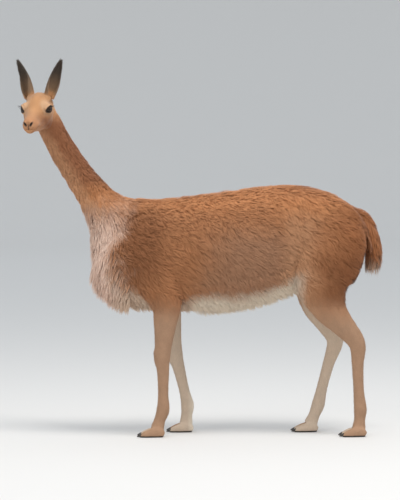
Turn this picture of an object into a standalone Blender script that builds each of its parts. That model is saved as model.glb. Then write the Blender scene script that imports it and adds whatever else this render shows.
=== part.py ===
"""A vicuna, life size, standing still with its head turned to its own left.

Metres, +Z up. The animal faces -Y and its left side is +X. The origin is on the floor, under the
middle of the whole model's box. The body is modelled whole as lofted forms, fused and smoothed, and
then parted into named nodes with thin cuts. The coat shows as locks and clumps set on the core.
"""

import math
import random

import bmesh
import bpy
import numpy as np
from mathutils import Matrix, Vector
from mathutils.bvhtree import BVHTree

# Gap that touching nodes keep between them
GAP = 0.0003
# The tail's gap is wider, because the clumped rump behind it has creases
TAIL_GAP = 0.0008

# Torso, from chest to rump: y, top of the coat, bottom of the coat, half width
TORSO_ROWS = (
    (-0.506, 0.700, 0.612, 0.044),
    (-0.486, 0.754, 0.540, 0.076),
    (-0.434, 0.804, 0.476, 0.100),
    (-0.335, 0.832, 0.436, 0.116),
    (-0.190, 0.846, 0.430, 0.130),
    (-0.030, 0.866, 0.444, 0.137),
    (0.100, 0.886, 0.484, 0.133),
    (0.195, 0.893, 0.536, 0.126),
    (0.285, 0.872, 0.590, 0.118),
    (0.365, 0.822, 0.640, 0.104),
    (0.420, 0.760, 0.672, 0.076),
    (0.444, 0.722, 0.690, 0.044),
)
# How square the sections are: 2 is an oval
TORSO_POWER = 2.25
LIMB_POWER = 2.1
TOE_POWER = 2.4

# Neck, from inside the chest to the poll: x, y, z, half width across, half width fore and aft
NECK_ROWS = (
    (0.000, -0.340, 0.620, 0.095, 0.135),
    (0.000, -0.428, 0.730, 0.082, 0.104),
    (0.000, -0.506, 0.830, 0.065, 0.072),
    (0.000, -0.582, 0.935, 0.056, 0.060),
    (0.002, -0.645, 1.035, 0.051, 0.055),
    (0.008, -0.686, 1.110, 0.048, 0.051),
    (0.018, -0.702, 1.150, 0.042, 0.044),
)

# Legs, from inside the body to the pastern: x, y, z, half width across, half width fore and aft
FORE_LEG_ROWS = (
    (0.068, -0.335, 0.660, 0.050, 0.088),
    (0.083, -0.305, 0.560, 0.050, 0.078),
    (0.086, -0.268, 0.470, 0.041, 0.058),
    (0.084, -0.270, 0.400, 0.033, 0.043),
    (0.082, -0.276, 0.320, 0.027, 0.032),
    (0.080, -0.280, 0.275, 0.027, 0.031),
    (0.079, -0.276, 0.235, 0.022, 0.024),
    (0.078, -0.274, 0.150, 0.0185, 0.0205),
    (0.078, -0.274, 0.096, 0.0220, 0.0250),
    (0.078, -0.285, 0.060, 0.0200, 0.0220),
    (0.078, -0.294, 0.028, 0.0230, 0.0270),
)
HIND_LEG_ROWS = (
    (0.062, 0.300, 0.765, 0.052, 0.092),
    (0.078, 0.306, 0.690, 0.057, 0.130),
    (0.084, 0.292, 0.610, 0.056, 0.126),
    (0.086, 0.278, 0.535, 0.049, 0.101),
    (0.084, 0.292, 0.455, 0.039, 0.066),
    (0.081, 0.330, 0.394, 0.030, 0.044),
    (0.079, 0.364, 0.346, 0.0245, 0.035),
    (0.078, 0.372, 0.310, 0.0230, 0.030),
    (0.077, 0.362, 0.250, 0.0190, 0.0230),
    (0.076, 0.352, 0.160, 0.0185, 0.0210),
    (0.076, 0.348, 0.098, 0.0220, 0.0250),
    (0.076, 0.340, 0.060, 0.0200, 0.0220),
    (0.076, 0.332, 0.028, 0.0230, 0.0270),
)
# How far each foot stands back from the neutral leg, and the height at which that lean starts
FORE_LEAN_FROM = 0.47
HIND_LEAN_FROM = 0.53
STANCE = {
    "fore_left": -0.006,
    "fore_right": 0.104,
    "hind_left": 0.082,
    "hind_right": -0.086,
}

# One toe, from heel to tip: distance in front of the pastern, half width, height of its top
TOE_ROWS = (
    (-0.024, 0.0100, 0.020),
    (-0.006, 0.0155, 0.036),
    (0.020, 0.0165, 0.033),
    (0.044, 0.0145, 0.023),
    (0.060, 0.0085, 0.013),
)
TOE_APART = 0.0160
TOE_SPLAY = 0.006
TOE_SINK = 0.005
NAIL_LENGTH = 0.027
NAIL_HALF_WIDTH = 0.0062
NAIL_HEIGHT = 0.0125
# Along a nail: share of its length, of its width and of its height
NAIL_ROWS = ((0.0, 0.75, 0.80), (0.35, 1.0, 1.0), (0.70, 0.72, 0.66), (1.0, 0.22, 0.22))
# How far a nail's root is set back from the toe's tip, its middle's height and dip, and its clearance
NAIL_BACK = 0.016
NAIL_MIDDLE = 0.0095
NAIL_DIP = 0.0055
NAIL_CLEAR = 0.0006
CLEFT_WIDTH = 0.0032
CLEFT_LENGTH = 0.085
CLEFT_HEIGHT = 0.062
CLEFT_AHEAD = 0.053
CLEFT_MIDDLE = 0.008
CLEFT_TILT = math.radians(16)

# Head, from the back of the skull to the lips: distance forward, half width, rise, drop
HEAD_ROWS = (
    (-0.014, 0.020, 0.020, 0.026),
    (0.002, 0.037, 0.037, 0.046),
    (0.030, 0.0480, 0.053, 0.062),
    (0.062, 0.0510, 0.0575, 0.0680),
    (0.094, 0.0485, 0.0510, 0.0665),
    (0.126, 0.0385, 0.0385, 0.0560),
    (0.156, 0.0325, 0.0315, 0.0450),
    (0.184, 0.0300, 0.0280, 0.0400),
    (0.205, 0.0285, 0.0250, 0.0360),
    (0.218, 0.0215, 0.0185, 0.0280),
)
HEAD_POWER = 2.3
POLL = Vector((-0.006, -0.706, 1.168))
HEAD_YAW = math.radians(80)
HEAD_PITCH = math.radians(22)

EYE_RADIUS = 0.0188
EYE_AT = (0.088, 0.0362, 0.0165)
EYE_LOOKS = (0.42, 0.90, 0.06)
LID_THICK = 0.0030
EYE_OPENING = (0.0172, 0.0125)

EAR_LENGTH = 0.142
EAR_ROOT = (0.030, 0.0330, 0.0360)
EAR_OUTWARD = math.radians(23)
EAR_RADIUS = 0.0232
EAR_THICK = 0.0034

TAIL_ROWS = (
    (0.0, 0.350, 0.770, 0.034, 0.032),
    (0.0, 0.408, 0.778, 0.034, 0.028),
    (0.0, 0.448, 0.754, 0.034, 0.022),
    (0.0, 0.466, 0.706, 0.034, 0.019),
    (0.0, 0.466, 0.655, 0.029, 0.016),
    (0.0, 0.462, 0.618, 0.016, 0.012),
)

# Lids, nostrils and the line of the mouth, as distances forward, left and up from the poll
LID_ROLL = 0.25
NOSTRIL_AT = (0.2185, 0.0112, 0.0065)
NOSTRIL_LOOKS = (0.85, 0.52, 0.10)
NOSTRIL_SIZE = (0.0021, 0.0062, 0.0080)
MOUTH_PATH = (
    (0.146, 0.0335, -0.0250),
    (0.172, 0.0285, -0.0195),
    (0.196, 0.0250, -0.0150),
    (0.214, 0.0190, -0.0125),
)
MOUTH_FRONT = (0.226, 0.0, -0.0115)
MOUTH_DEPTH = 0.0065
MOUTH_WIDTH = 0.0032
LIP_CLEFT_AT = (0.2285, 0.0, -0.0030)
LIP_CLEFT_SIZE = (0.0013, 0.0060, 0.0085)
# Rounded forms that swell out of the head: place, then half sizes across, fore and aft, and up
CHIN = ((0.196, 0.0, -0.0235), (0.0165, 0.020, 0.0125))
SIDE_SWELLINGS = {
    "brow": ((0.088, 0.0385, 0.0215), (0.0165, 0.0260, 0.0150)),
    "cheek": ((0.066, 0.0270, -0.0310), (0.0215, 0.0420, 0.0350)),
    "lip": ((0.205, 0.0125, -0.0010), (0.0135, 0.0200, 0.0150)),
}

# How the fused forms are made: the voxel's side, rounds of smoothing, and the share of faces kept
BODY_FUSING = (0.006, 8, 0.021)
HEAD_FUSING = (0.004, 5, 0.065)

# Fleece: rounded clumps on the torso, neck, shoulders and thighs. The core lies this far inside
# the outline on the torso and on the neck, and not at all on the lower legs and the throat.
CORE_INSET = 0.012
NECK_INSET = 0.009
LEGS_BARE_BELOW = 0.44
LEGS_WOOLLY_ABOVE = 0.52
NECK_BARE_ABOVE = 1.09
NECK_WOOLLY_BELOW = 0.98
CLUMP_SPACING = 0.090
CLUMP_HALF_LENGTH = 0.072
CLUMP_HALF_WIDTH = 0.061
CLUMP_RISE = 0.0130
CLUMP_SUNK = 0.005
# A clump is left out where its rim would stray this far from a flat one, or the surface turns too much
CLUMP_STRAY = 0.024
CLUMP_BEND = 0.35
# A clump's shoulder ring: its share of the rim's size, its shift along the lie, its share of the rise
SHOULDER_LENGTH = 0.60
SHOULDER_WIDTH = 0.62
SHOULDER_SHIFT = 0.10
SHOULDER_RISE = 0.60
SHOULDER_LEAN = 0.08
CROWN_SHIFT = 0.20
# Sizes that are tried in turn where a whole clump doesn't fit
CLUMP_SIZES = (1.0, 0.72, 0.50)
CLUMP_DRAWS = 6000
NECK_CLUMP_SCALE = 0.78
NECK_RISE_SCALE = 0.75
NECK_STARTS = (-0.40, 0.86)
BODY_LIE = Vector((0.0, 0.72, -0.69))
NECK_LIE = Vector((0.0, 0.52, -0.85))
LIE_SPREAD = 0.16
FLEECE_SEED = 5
# Where no clumps grow: the bib, the root of the tail, the throat and the legs' lower and inner sides
BIB_BEHIND = -0.425
BIB_HEIGHTS = (0.44, 0.76)
BIB_HALF_WIDTH = 0.066
TAIL_ROOT = Vector((0.0, 0.43, 0.745))
TAIL_ROOT_RADIUS = 0.058
THROAT_ABOVE = 1.02
FORE_LEGS_BEFORE = -0.17
HIND_LEGS_BEHIND = 0.12
LOWER_LEG = (0.52, 0.03)
BETWEEN_LEGS = (0.60, 0.06)

# Bib: flat locks on the front of the chest: height of a row's roots, locks in the row, length
BIB_ROWS = (
    (0.728, 3, 0.130),
    (0.682, 4, 0.135),
    (0.634, 3, 0.135),
    (0.588, 4, 0.135),
    (0.540, 3, 0.130),
)
BIB_APART = 0.041
BIB_STRAY = (0.004, 0.008)
BIB_SWING = 0.14
BIB_FAN = 1.2
BIB_FORWARD = -0.10
BIB_LIFT = (0.002, 0.0015)
LOCK_STEPS = 4
LOCK_HALF_WIDTH = 0.029
LOCK_HALF_THICK = 0.0048
LOCK_SUNK = 0.010
# A lock's width along its length, as a curve's three factors, and how much thinner it is at its tip
LOCK_WIDTHS = (0.42, 2.00, -2.10)
LOCK_THINS = 0.45

# Tail locks: how far down the tail a row starts, and its locks
TAIL_LOCK_ROWS = ((0.30, 3), (0.50, 4))
TAIL_LOCK_LENGTH = 0.108
TAIL_LOCK_HALF_WIDTH = 0.026
TAIL_LOCK_STRAY = 0.2
TAIL_CORE_INSET = 0.006
# How far out a lock lies at each of its points, as a share of the tail's own half width
TAIL_LOCK_LIFT = (0.50, 0.92, 1.00, 0.90, 0.50)
# How far a lock runs past the tail's end for each row of the tail that it would still have crossed
TAIL_LOCK_OVERHANG = 0.009

# Colours as linear red, green, blue
FAWN = (0.47, 0.225, 0.098)
DARK = (0.018, 0.014, 0.012)
HORN = (0.030, 0.024, 0.020)


def clear_scene():
    for old in list(bpy.data.objects):
        bpy.data.objects.remove(old)


def new_object(name, mesh, collection):
    made = bpy.data.objects.new(name, mesh)
    collection.objects.link(made)
    return made


def unit(vector):
    return np.asarray(vector, float) / np.linalg.norm(vector)


def smooth_rows(rows, steps):
    """Rows with steps more between each two, on a Catmull-Rom curve."""
    rows = np.array(rows, float)
    ends = np.vstack([2 * rows[0] - rows[1], rows, 2 * rows[-1] - rows[-2]])
    made = []
    for i in range(len(rows) - 1):
        a, b, c, d = ends[i : i + 4]
        for t in np.arange(steps) / steps:
            square = 2 * a - 5 * b + 4 * c - d
            cube = 3 * b - a - 3 * c + d
            made.append(0.5 * (2 * b + (c - a) * t + square * t**2 + cube * t**3))
    made.append(rows[-1])
    return np.array(made)


def ring(centre, across, up, half_width, rise, drop, power=2.0, count=24):
    """Points of an oval section. Its power makes it squarer, and its rise and drop may differ."""
    points = []
    for k in range(count):
        angle = 2 * math.pi * k / count
        c, s = math.cos(angle), math.sin(angle)
        out = math.copysign(abs(c) ** (2 / power), c) * half_width
        high = math.copysign(abs(s) ** (2 / power), s) * (rise if s > 0 else drop)
        points.append(np.asarray(centre) + np.asarray(across) * out + np.asarray(up) * high)
    return points


def loft(rings):
    """A closed bmesh through a row of rings, with capped ends and faces pointing out."""
    built = bmesh.new()
    rows = [[built.verts.new(p) for p in points] for points in rings]
    count = len(rows[0])
    for low, high in zip(rows, rows[1:]):
        for k in range(count):
            after = (k + 1) % count
            built.faces.new((low[k], low[after], high[after], high[k]))
    built.faces.new(rows[0])
    built.faces.new(rows[-1])
    bmesh.ops.recalc_face_normals(built, faces=built.faces)
    return built


def mesh_of(built, name):
    mesh = bpy.data.meshes.new(name)
    bmesh.ops.recalc_face_normals(built, faces=built.faces)
    built.to_mesh(mesh)
    built.free()
    return mesh


def thinned(rows, inset, bare, full):
    """Limb rows drawn in by the inset: none of it at the bare height, all of it at the full height."""
    made = []
    for x, y, z, across, fore in rows:
        share = min(1.0, max(0.0, (z - bare) / (full - bare)))
        made.append((x, y, z, across - inset * share, fore - inset * share))
    return made


def path_loft(rows, power=2.0, steps=4, grow=0.0, count=24):
    """A limb along its own path, each section square to the path."""
    rows = smooth_rows(rows, steps)
    paths = rows[:, :3]
    rings = []
    for i, row in enumerate(rows):
        ahead = paths[min(i + 1, len(rows) - 1)] - paths[max(i - 1, 0)]
        ahead = unit(ahead)
        across = unit(np.array((1.0, 0, 0)) - ahead * ahead[0])
        fore = np.cross(ahead, across)
        rings.append(ring(row[:3], across, fore, row[3] + grow, row[4] + grow, row[4] + grow, power, count))
    return loft(rings)


def ball(centre, radii, turn=Matrix.Identity(3), segments=16, rings=10):
    built = bmesh.new()
    bmesh.ops.create_uvsphere(built, u_segments=segments, v_segments=rings, radius=1.0)
    place = Matrix.Translation(centre) @ turn.to_4x4() @ Matrix.Diagonal((*radii, 1.0))
    bmesh.ops.transform(built, matrix=place, verts=built.verts)
    return built


def evaluated_mesh(obj):
    graph = bpy.context.evaluated_depsgraph_get()
    return bpy.data.meshes.new_from_object(obj.evaluated_get(graph))


def apply_modifiers(obj):
    mesh = evaluated_mesh(obj)
    obj.modifiers.clear()
    obj.data = mesh
    return obj


def fused(name, forms, voxel, rounds, ratio, collection):
    """The forms as one closed surface: remeshed, smoothed where they meet, and thinned."""
    joined = bmesh.new()
    for form in forms:
        mesh = mesh_of(form, "form")
        joined.from_mesh(mesh)
    body = new_object(name, mesh_of(joined, name), collection)
    remesh = body.modifiers.new("fuse", "REMESH")
    remesh.mode = "VOXEL"
    remesh.voxel_size = voxel
    smooth = body.modifiers.new("smooth", "SMOOTH")
    smooth.factor = 0.5
    smooth.iterations = rounds
    thin = body.modifiers.new("thin", "DECIMATE")
    thin.ratio = ratio
    return apply_modifiers(body)


def boolean(obj, others, operation, keep=False, solver="MANIFOLD"):
    """One Boolean on a collection of closed meshes, applied. The others are removed unless kept."""
    group = bpy.data.collections.new("operands")
    for other in others:
        group.objects.link(other)
    modifier = obj.modifiers.new(operation.lower(), "BOOLEAN")
    modifier.operation = operation
    modifier.solver = solver
    if operation == "INTERSECT":
        modifier.object = others[0]
    else:
        modifier.operand_type = "COLLECTION"
        modifier.collection = group
    apply_modifiers(obj)
    bpy.data.collections.remove(group)
    if not keep:
        for other in others:
            bpy.data.objects.remove(other)
    return obj


def copy_of(obj, name, collection):
    made = obj.copy()
    made.data = obj.data.copy()
    made.name = name
    collection.objects.link(made)
    return made


def swollen(obj, by, collection):
    """A copy with each point moved out along its normal."""
    made = copy_of(obj, obj.name + "_swollen", collection)
    for vertex, normal in [(v, v.normal.copy()) for v in made.data.vertices]:
        vertex.co += normal * by
    return made


def keep_largest(obj):
    """Drops all but the largest closed surface of a node."""
    built = bmesh.new()
    built.from_mesh(obj.data)
    bmesh.ops.remove_doubles(built, verts=built.verts, dist=1e-6)
    seen = set()
    best = []
    most = -1.0
    for start in built.faces:
        if start in seen:
            continue
        found = []
        stack = [start]
        seen.add(start)
        while stack:
            face = stack.pop()
            found.append(face)
            for edge in face.edges:
                for near in edge.link_faces:
                    if near not in seen:
                        seen.add(near)
                        stack.append(near)
        volume = abs(sum(volume_under(face) for face in found))
        if volume > most:
            best, most = found, volume
    kept = set(best)
    bmesh.ops.delete(built, geom=[f for f in built.faces if f not in kept], context="FACES")
    bmesh.ops.triangulate(built, faces=built.faces)
    built.to_mesh(obj.data)
    built.free()


def volume_under(face):
    points = [v.co for v in face.verts]
    return sum(points[0].dot(points[i].cross(points[i + 1])) / 6 for i in range(1, len(points) - 1))


def shade(obj, colour, roughness):
    """Smooth shading and the node's own material."""
    material = bpy.data.materials.new(obj.name)
    material.use_nodes = True
    shader = material.node_tree.nodes["Principled BSDF"]
    shader.inputs["Base Color"].default_value = (*colour, 1.0)
    shader.inputs["Roughness"].default_value = roughness
    shader.inputs["Metallic"].default_value = 0.0
    obj.data.materials.clear()
    obj.data.materials.append(material)
    obj.data.shade_smooth()
    obj.data.set_sharp_from_angle(angle=math.radians(50))


# Torso, neck and legs


def torso_form(grow=0.0):
    rings = []
    for y, top, bottom, half in smooth_rows(TORSO_ROWS, 4):
        middle = bottom + 0.52 * (top - bottom)
        centre = (0.0, y, middle)
        rise = top - middle + grow
        drop = middle - bottom + grow
        rings.append(ring(centre, (1, 0, 0), (0, 0, 1), half + grow, rise, drop, TORSO_POWER, 28))
    return loft(rings)


def leg_rows(rows, side, back, lean_from):
    """The rows of one leg, mirrored to its side, with the foot set back."""
    placed = []
    for x, y, z, across, fore in rows:
        lean = back * max(0.0, 1 - z / lean_from)
        placed.append((x * side, y + lean, z, across, fore))
    return placed


def leg_names():
    """Each leg's name with its rows, as they stand."""
    for name, back in STANCE.items():
        side = 1 if name.endswith("left") else -1
        fore = name.startswith("fore")
        rows = FORE_LEG_ROWS if fore else HIND_LEG_ROWS
        lean = FORE_LEAN_FROM if fore else HIND_LEAN_FROM
        yield name, side, leg_rows(rows, side, back, lean)


def toe_forms(foot):
    """Two toes in front of the pastern, with flat soles once they are cut at the floor."""
    x, y = foot[0], foot[1]
    forms = []
    for side in (-1, 1):
        rings = []
        for ahead, half, top in smooth_rows(TOE_ROWS, 3):
            apart = side * (TOE_APART + TOE_SPLAY * max(0.0, ahead) / TOE_ROWS[-1][0])
            middle = (top - TOE_SINK) / 2
            centre = (x + apart, y - ahead, middle)
            drop = middle + TOE_SINK
            rings.append(ring(centre, (1, 0, 0), (0, 0, 1), half, top - middle, drop, TOE_POWER, 14))
        forms.append(loft(rings))
    return forms


def nail(foot, side, grow, name, collection):
    """A blunt, pointed nail set in the front of a toe."""
    x, y = foot[0], foot[1]
    start = y - TOE_ROWS[-1][0] + NAIL_BACK
    rings = []
    for t, wide, high in NAIL_ROWS:
        apart = side * (TOE_APART + TOE_SPLAY)
        centre = (x + apart, start - t * NAIL_LENGTH, NAIL_MIDDLE - NAIL_DIP * t)
        half = NAIL_HALF_WIDTH * wide + grow
        rise = NAIL_HEIGHT * high / 2 + grow
        drop = min(rise, centre[2] - NAIL_CLEAR + grow)
        rings.append(ring(centre, (1, 0, 0), (0, 0, 1), half, rise, drop, 2.0, 10))
    rings[0] = [p + np.array((0, grow, 0)) for p in rings[0]]
    rings[-1] = [p - np.array((0, grow, 0)) for p in rings[-1]]
    return new_object(name, mesh_of(loft(rings), name), collection)


def cleft(foot, collection):
    """A thin wedge that parts the two toes from the front."""
    x, y = foot[0], foot[1]
    built = bmesh.new()
    bmesh.ops.create_cube(built, size=1.0)
    size = Matrix.Diagonal((CLEFT_WIDTH, CLEFT_LENGTH, CLEFT_HEIGHT, 1.0))
    place = Matrix.Translation((x, y - CLEFT_AHEAD, CLEFT_MIDDLE))
    place = place @ Matrix.Rotation(CLEFT_TILT, 4, "X") @ size
    bmesh.ops.transform(built, matrix=place, verts=built.verts)
    return new_object("cleft", mesh_of(built, "cleft"), collection)


# Head


def head_axes():
    """The head's forward, left and up directions."""
    cy, sy = math.cos(HEAD_YAW), math.sin(HEAD_YAW)
    cp, sp = math.cos(HEAD_PITCH), math.sin(HEAD_PITCH)
    forward = Vector((sy * cp, -cy * cp, -sp))
    left = Vector((cy, sy, 0.0))
    return forward, left, forward.cross(left)


FORWARD, LEFT, UP = head_axes()


def head_point(forward, left, up):
    return POLL + FORWARD * forward + LEFT * left + UP * up


def head_direction(forward, left, up):
    return (FORWARD * forward + LEFT * left + UP * up).normalized()


def turn_to(direction, up):
    """A rotation whose Z is the direction and whose Y lies nearest up."""
    z = Vector(direction).normalized()
    x = Vector(up).cross(z).normalized()
    return Matrix((x, z.cross(x), z)).transposed()


def head_form():
    rings = []
    for forward, half, rise, drop in smooth_rows(HEAD_ROWS, 4):
        rings.append(ring(head_point(forward, 0, 0), LEFT, UP, half, rise, drop, HEAD_POWER, 28))
    return loft(rings)


def head_extras():
    """Brows, cheeks, lips and chin, which swell out of the plain head."""
    frame = Matrix((LEFT, FORWARD, UP)).transposed()
    place, size = CHIN
    forms = [ball(head_point(*place), size, frame)]
    for side in (-1, 1):
        for (ahead, aside, up), size in SIDE_SWELLINGS.values():
            forms.append(ball(head_point(ahead, side * aside, up), size, frame))
    return forms


def band(name, path, depth, thick, collection):
    """A thin cutter that follows a path over the surface: each section is a flat diamond."""
    rings = []
    for point, outward, normal in path:
        point, outward, normal = Vector(point), Vector(outward), Vector(normal)
        rings.append(
            [
                np.array(point - outward * depth),
                np.array(point + normal * thick / 2),
                np.array(point + outward * depth),
                np.array(point - normal * thick / 2),
            ]
        )
    return new_object(name, mesh_of(loft(rings), name), collection)


def mouth(collection):
    """The line of the mouth, from one corner round the lips to the other."""
    other_side = [(forward, -left, up) for forward, left, up in reversed(MOUTH_PATH)]
    path = []
    for forward, left, up in [*MOUTH_PATH, MOUTH_FRONT, *other_side]:
        outward = head_direction(max(0.0, (forward - 0.196) * 30), left / 0.03, 0)
        path.append((head_point(forward, left, up), outward, UP))
    return band("mouth", path, MOUTH_DEPTH, MOUTH_WIDTH, collection)


def lip_cleft(collection):
    """The groove that splits the upper lip below the nose."""
    turn = Matrix((LEFT, FORWARD, UP)).transposed()
    made = ball(head_point(*LIP_CLEFT_AT), LIP_CLEFT_SIZE, turn, 8, 6)
    return new_object("lip_cleft", mesh_of(made, "lip_cleft"), collection)


def nostril(side, collection):
    """A slanting slit, wider at its inner end."""
    looks = head_direction(NOSTRIL_LOOKS[0], side * NOSTRIL_LOOKS[1], NOSTRIL_LOOKS[2])
    turn = turn_to(looks, head_direction(0.0, side * 0.55, 0.85))
    made = ball(head_point(NOSTRIL_AT[0], side * NOSTRIL_AT[1], NOSTRIL_AT[2]), NOSTRIL_SIZE, turn, 10, 8)
    return new_object("nostril", mesh_of(made, "nostril"), collection)


def eye_frame(side):
    """Where an eye's centre is, and the rotation whose Z looks out of it."""
    centre = head_point(EYE_AT[0], side * EYE_AT[1], EYE_AT[2])
    looks = head_direction(EYE_LOOKS[0], side * EYE_LOOKS[1], EYE_LOOKS[2])
    return centre, turn_to(looks, head_direction(0.12, 0, 1.0))


def eye_ball(name, side, grow, collection, segments=16, rings=10):
    centre, turn = eye_frame(side)
    radius = EYE_RADIUS + grow
    return new_object(name, mesh_of(ball(centre, (radius,) * 3, turn, segments, rings), name), collection)


def eye_opening(side, collection):
    """An almond prism that opens the lids."""
    centre, turn = eye_frame(side)
    rings = []
    for out in (EYE_RADIUS * 0.35, EYE_RADIUS * 2.2):
        points = []
        for k in range(16):
            angle = 2 * math.pi * k / 16
            wide = math.cos(angle) * EYE_OPENING[0]
            high = math.sin(angle) * abs(math.sin(angle)) ** LID_ROLL * EYE_OPENING[1]
            points.append(np.array(centre + turn @ Vector((wide, high, out))))
        rings.append(points)
    return new_object("opening", mesh_of(loft(rings), "opening"), collection)


def ear(name, side, collection):
    """A long cupped leaf, nearly closed at its root and pointed at its tip."""
    root = head_point(EAR_ROOT[0], side * EAR_ROOT[1], EAR_ROOT[2])
    level_left = Vector((LEFT.x, LEFT.y, 0)).normalized()
    level_forward = Vector((FORWARD.x, FORWARD.y, 0)).normalized()
    axis = Vector((0, 0, 1)) * math.cos(EAR_OUTWARD) + level_left * side * math.sin(EAR_OUTWARD)
    opens = (level_forward * 0.86 + level_left * side * 0.50).normalized()
    opens = (opens - axis * opens.dot(axis)).normalized()
    across = axis.cross(opens)
    inner = []
    outer = []
    rows = 8
    columns = 7
    for i in range(rows + 1):
        t = i / rows
        radius = EAR_RADIUS * (0.72 + 1.05 * t - 1.60 * t * t) + 0.0012
        radius = max(radius, 0.0045) if t < 1 else 0.0032
        spread = math.radians(155 - 75 * min(1.0, t * 1.7))
        curl = -side * 0.010 * t * t
        centre = root + axis * (EAR_LENGTH * t) + level_left * curl - opens * 0.006 * math.sin(math.pi * t)
        thick = EAR_THICK * (1 - 0.45 * t)
        for points, r in ((outer, radius), (inner, radius - thick)):
            row = []
            for j in range(columns + 1):
                a = -spread + 2 * spread * j / columns
                row.append(centre + across * math.sin(a) * r - opens * math.cos(a) * r)
            points.append(row)
    rings = [outer_row + inner_row[::-1] for outer_row, inner_row in zip(outer, inner)]
    rings = [[np.array(p) for p in points] for points in rings]
    return new_object(name, mesh_of(loft(rings), name), collection)


# Coat


def clump(tree, place, lie, half_length, half_width, rise):
    """A rounded clump: a six-sided dome with its crown leant along the lie and its rim sunk in the core."""
    point, normal = tree.find_nearest(place)[:2]
    ahead = (lie - normal * lie.dot(normal)).normalized()
    across = normal.cross(ahead)
    built = bmesh.new()
    rim = []
    shoulder = []
    for k in range(6):
        along = math.cos(math.pi * k / 3)
        aside = math.sin(math.pi * k / 3)
        aim = point + ahead * along * half_length + across * aside * half_width
        foot, foot_normal = tree.find_nearest(aim)[:2]
        if (foot - aim).length > CLUMP_STRAY or foot_normal.dot(normal) < CLUMP_BEND:
            built.free()
            return None
        rim.append(built.verts.new(foot - foot_normal * CLUMP_SUNK))
        aim = point + ahead * (SHOULDER_LENGTH * along + SHOULDER_SHIFT) * half_length
        aim = aim + across * SHOULDER_WIDTH * aside * half_width
        foot, foot_normal = tree.find_nearest(aim)[:2]
        shoulder.append(built.verts.new(foot + foot_normal * rise * (SHOULDER_RISE + SHOULDER_LEAN * along)))
    crown = built.verts.new(point + ahead * CROWN_SHIFT * half_length + normal * rise)
    for k in range(6):
        after = (k + 1) % 6
        built.faces.new((rim[k], rim[after], shoulder[after], shoulder[k]))
        built.faces.new((shoulder[k], shoulder[after], crown))
    built.faces.new(rim)
    return built


def lock(points, outwards, half_width, half_thick):
    """A flat lock along a path, tapered to a point, of four-sided sections that lie flat to its outside."""
    built = bmesh.new()
    rows = []
    last = len(points) - 1
    for i in range(last):
        share = i / last
        ahead = (points[i + 1] - points[max(i - 1, 0)]).normalized()
        across = outwards[i].cross(ahead).normalized()
        out = ahead.cross(across)
        wide = half_width * (LOCK_WIDTHS[0] + LOCK_WIDTHS[1] * share + LOCK_WIDTHS[2] * share * share)
        thick = half_thick * (1 - LOCK_THINS * share)
        section = (-across * wide, out * thick, across * wide, -out * thick)
        rows.append([built.verts.new(points[i] + offset) for offset in section])
    tip = built.verts.new(points[last])
    for low, high in zip(rows, rows[1:]):
        for k in range(4):
            after = (k + 1) % 4
            built.faces.new((low[k], low[after], high[after], high[k]))
    for k in range(4):
        built.faces.new((rows[-1][k], rows[-1][(k + 1) % 4], tip))
    built.faces.new(rows[0])
    return built


def fleece_grows(point):
    """Whether clumps grow at a place."""
    in_height = BIB_HEIGHTS[0] < point.z < BIB_HEIGHTS[1]
    bib = point.y < BIB_BEHIND and in_height and abs(point.x) < BIB_HALF_WIDTH
    tail_root = (point - TAIL_ROOT).length < TAIL_ROOT_RADIUS
    by_leg = point.y < FORE_LEGS_BEFORE or point.y > HIND_LEGS_BEHIND
    lower_leg = by_leg and point.z < LOWER_LEG[0] and abs(point.x) > LOWER_LEG[1]
    inside_leg = point.z < BETWEEN_LEGS[0] and abs(point.x) < BETWEEN_LEGS[1]
    between_legs = by_leg and inside_leg and point.y > 0
    throat = point.z > THROAT_ABOVE
    return not (bib or tail_root or lower_leg or between_legs or throat)


def fleece(body, collection):
    """Clumps spread evenly over the fleece, each at a random place that is clear of the ones before."""
    mesh = body.data
    tree = BVHTree.FromPolygons([v.co for v in mesh.vertices], [tuple(p.vertices) for p in mesh.polygons])
    draw = random.Random(FLEECE_SEED)
    areas = [p.area for p in mesh.polygons]
    roots = []
    made = []
    for face in draw.choices(mesh.polygons, areas, k=CLUMP_DRAWS):
        corners = [mesh.vertices[i].co for i in face.vertices]
        a, b = sorted((draw.random(), draw.random()))
        place = corners[0] * a + corners[1] * (b - a) + corners[2] * (1 - b)
        on_neck = place.z > NECK_STARTS[1] and place.y < NECK_STARTS[0]
        scale = NECK_CLUMP_SCALE if on_neck else 1.0
        if not fleece_grows(place) or any((place - other).length < CLUMP_SPACING * scale for other in roots):
            continue
        roots.append(place)
        lie = (NECK_LIE if on_neck else BODY_LIE).copy()
        lie.x += draw.uniform(-LIE_SPREAD, LIE_SPREAD)
        half_length = CLUMP_HALF_LENGTH * scale * draw.uniform(0.88, 1.12)
        half_width = CLUMP_HALF_WIDTH * scale * draw.uniform(0.90, 1.12)
        rise = CLUMP_RISE * (NECK_RISE_SCALE if on_neck else 1.0) * draw.uniform(0.86, 1.14)
        for size in CLUMP_SIZES:
            built = clump(tree, place, lie, half_length * size, half_width * size, rise * size)
            if built:
                made.append(new_object("clump", mesh_of(built, "clump"), collection))
                break
    return made


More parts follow.
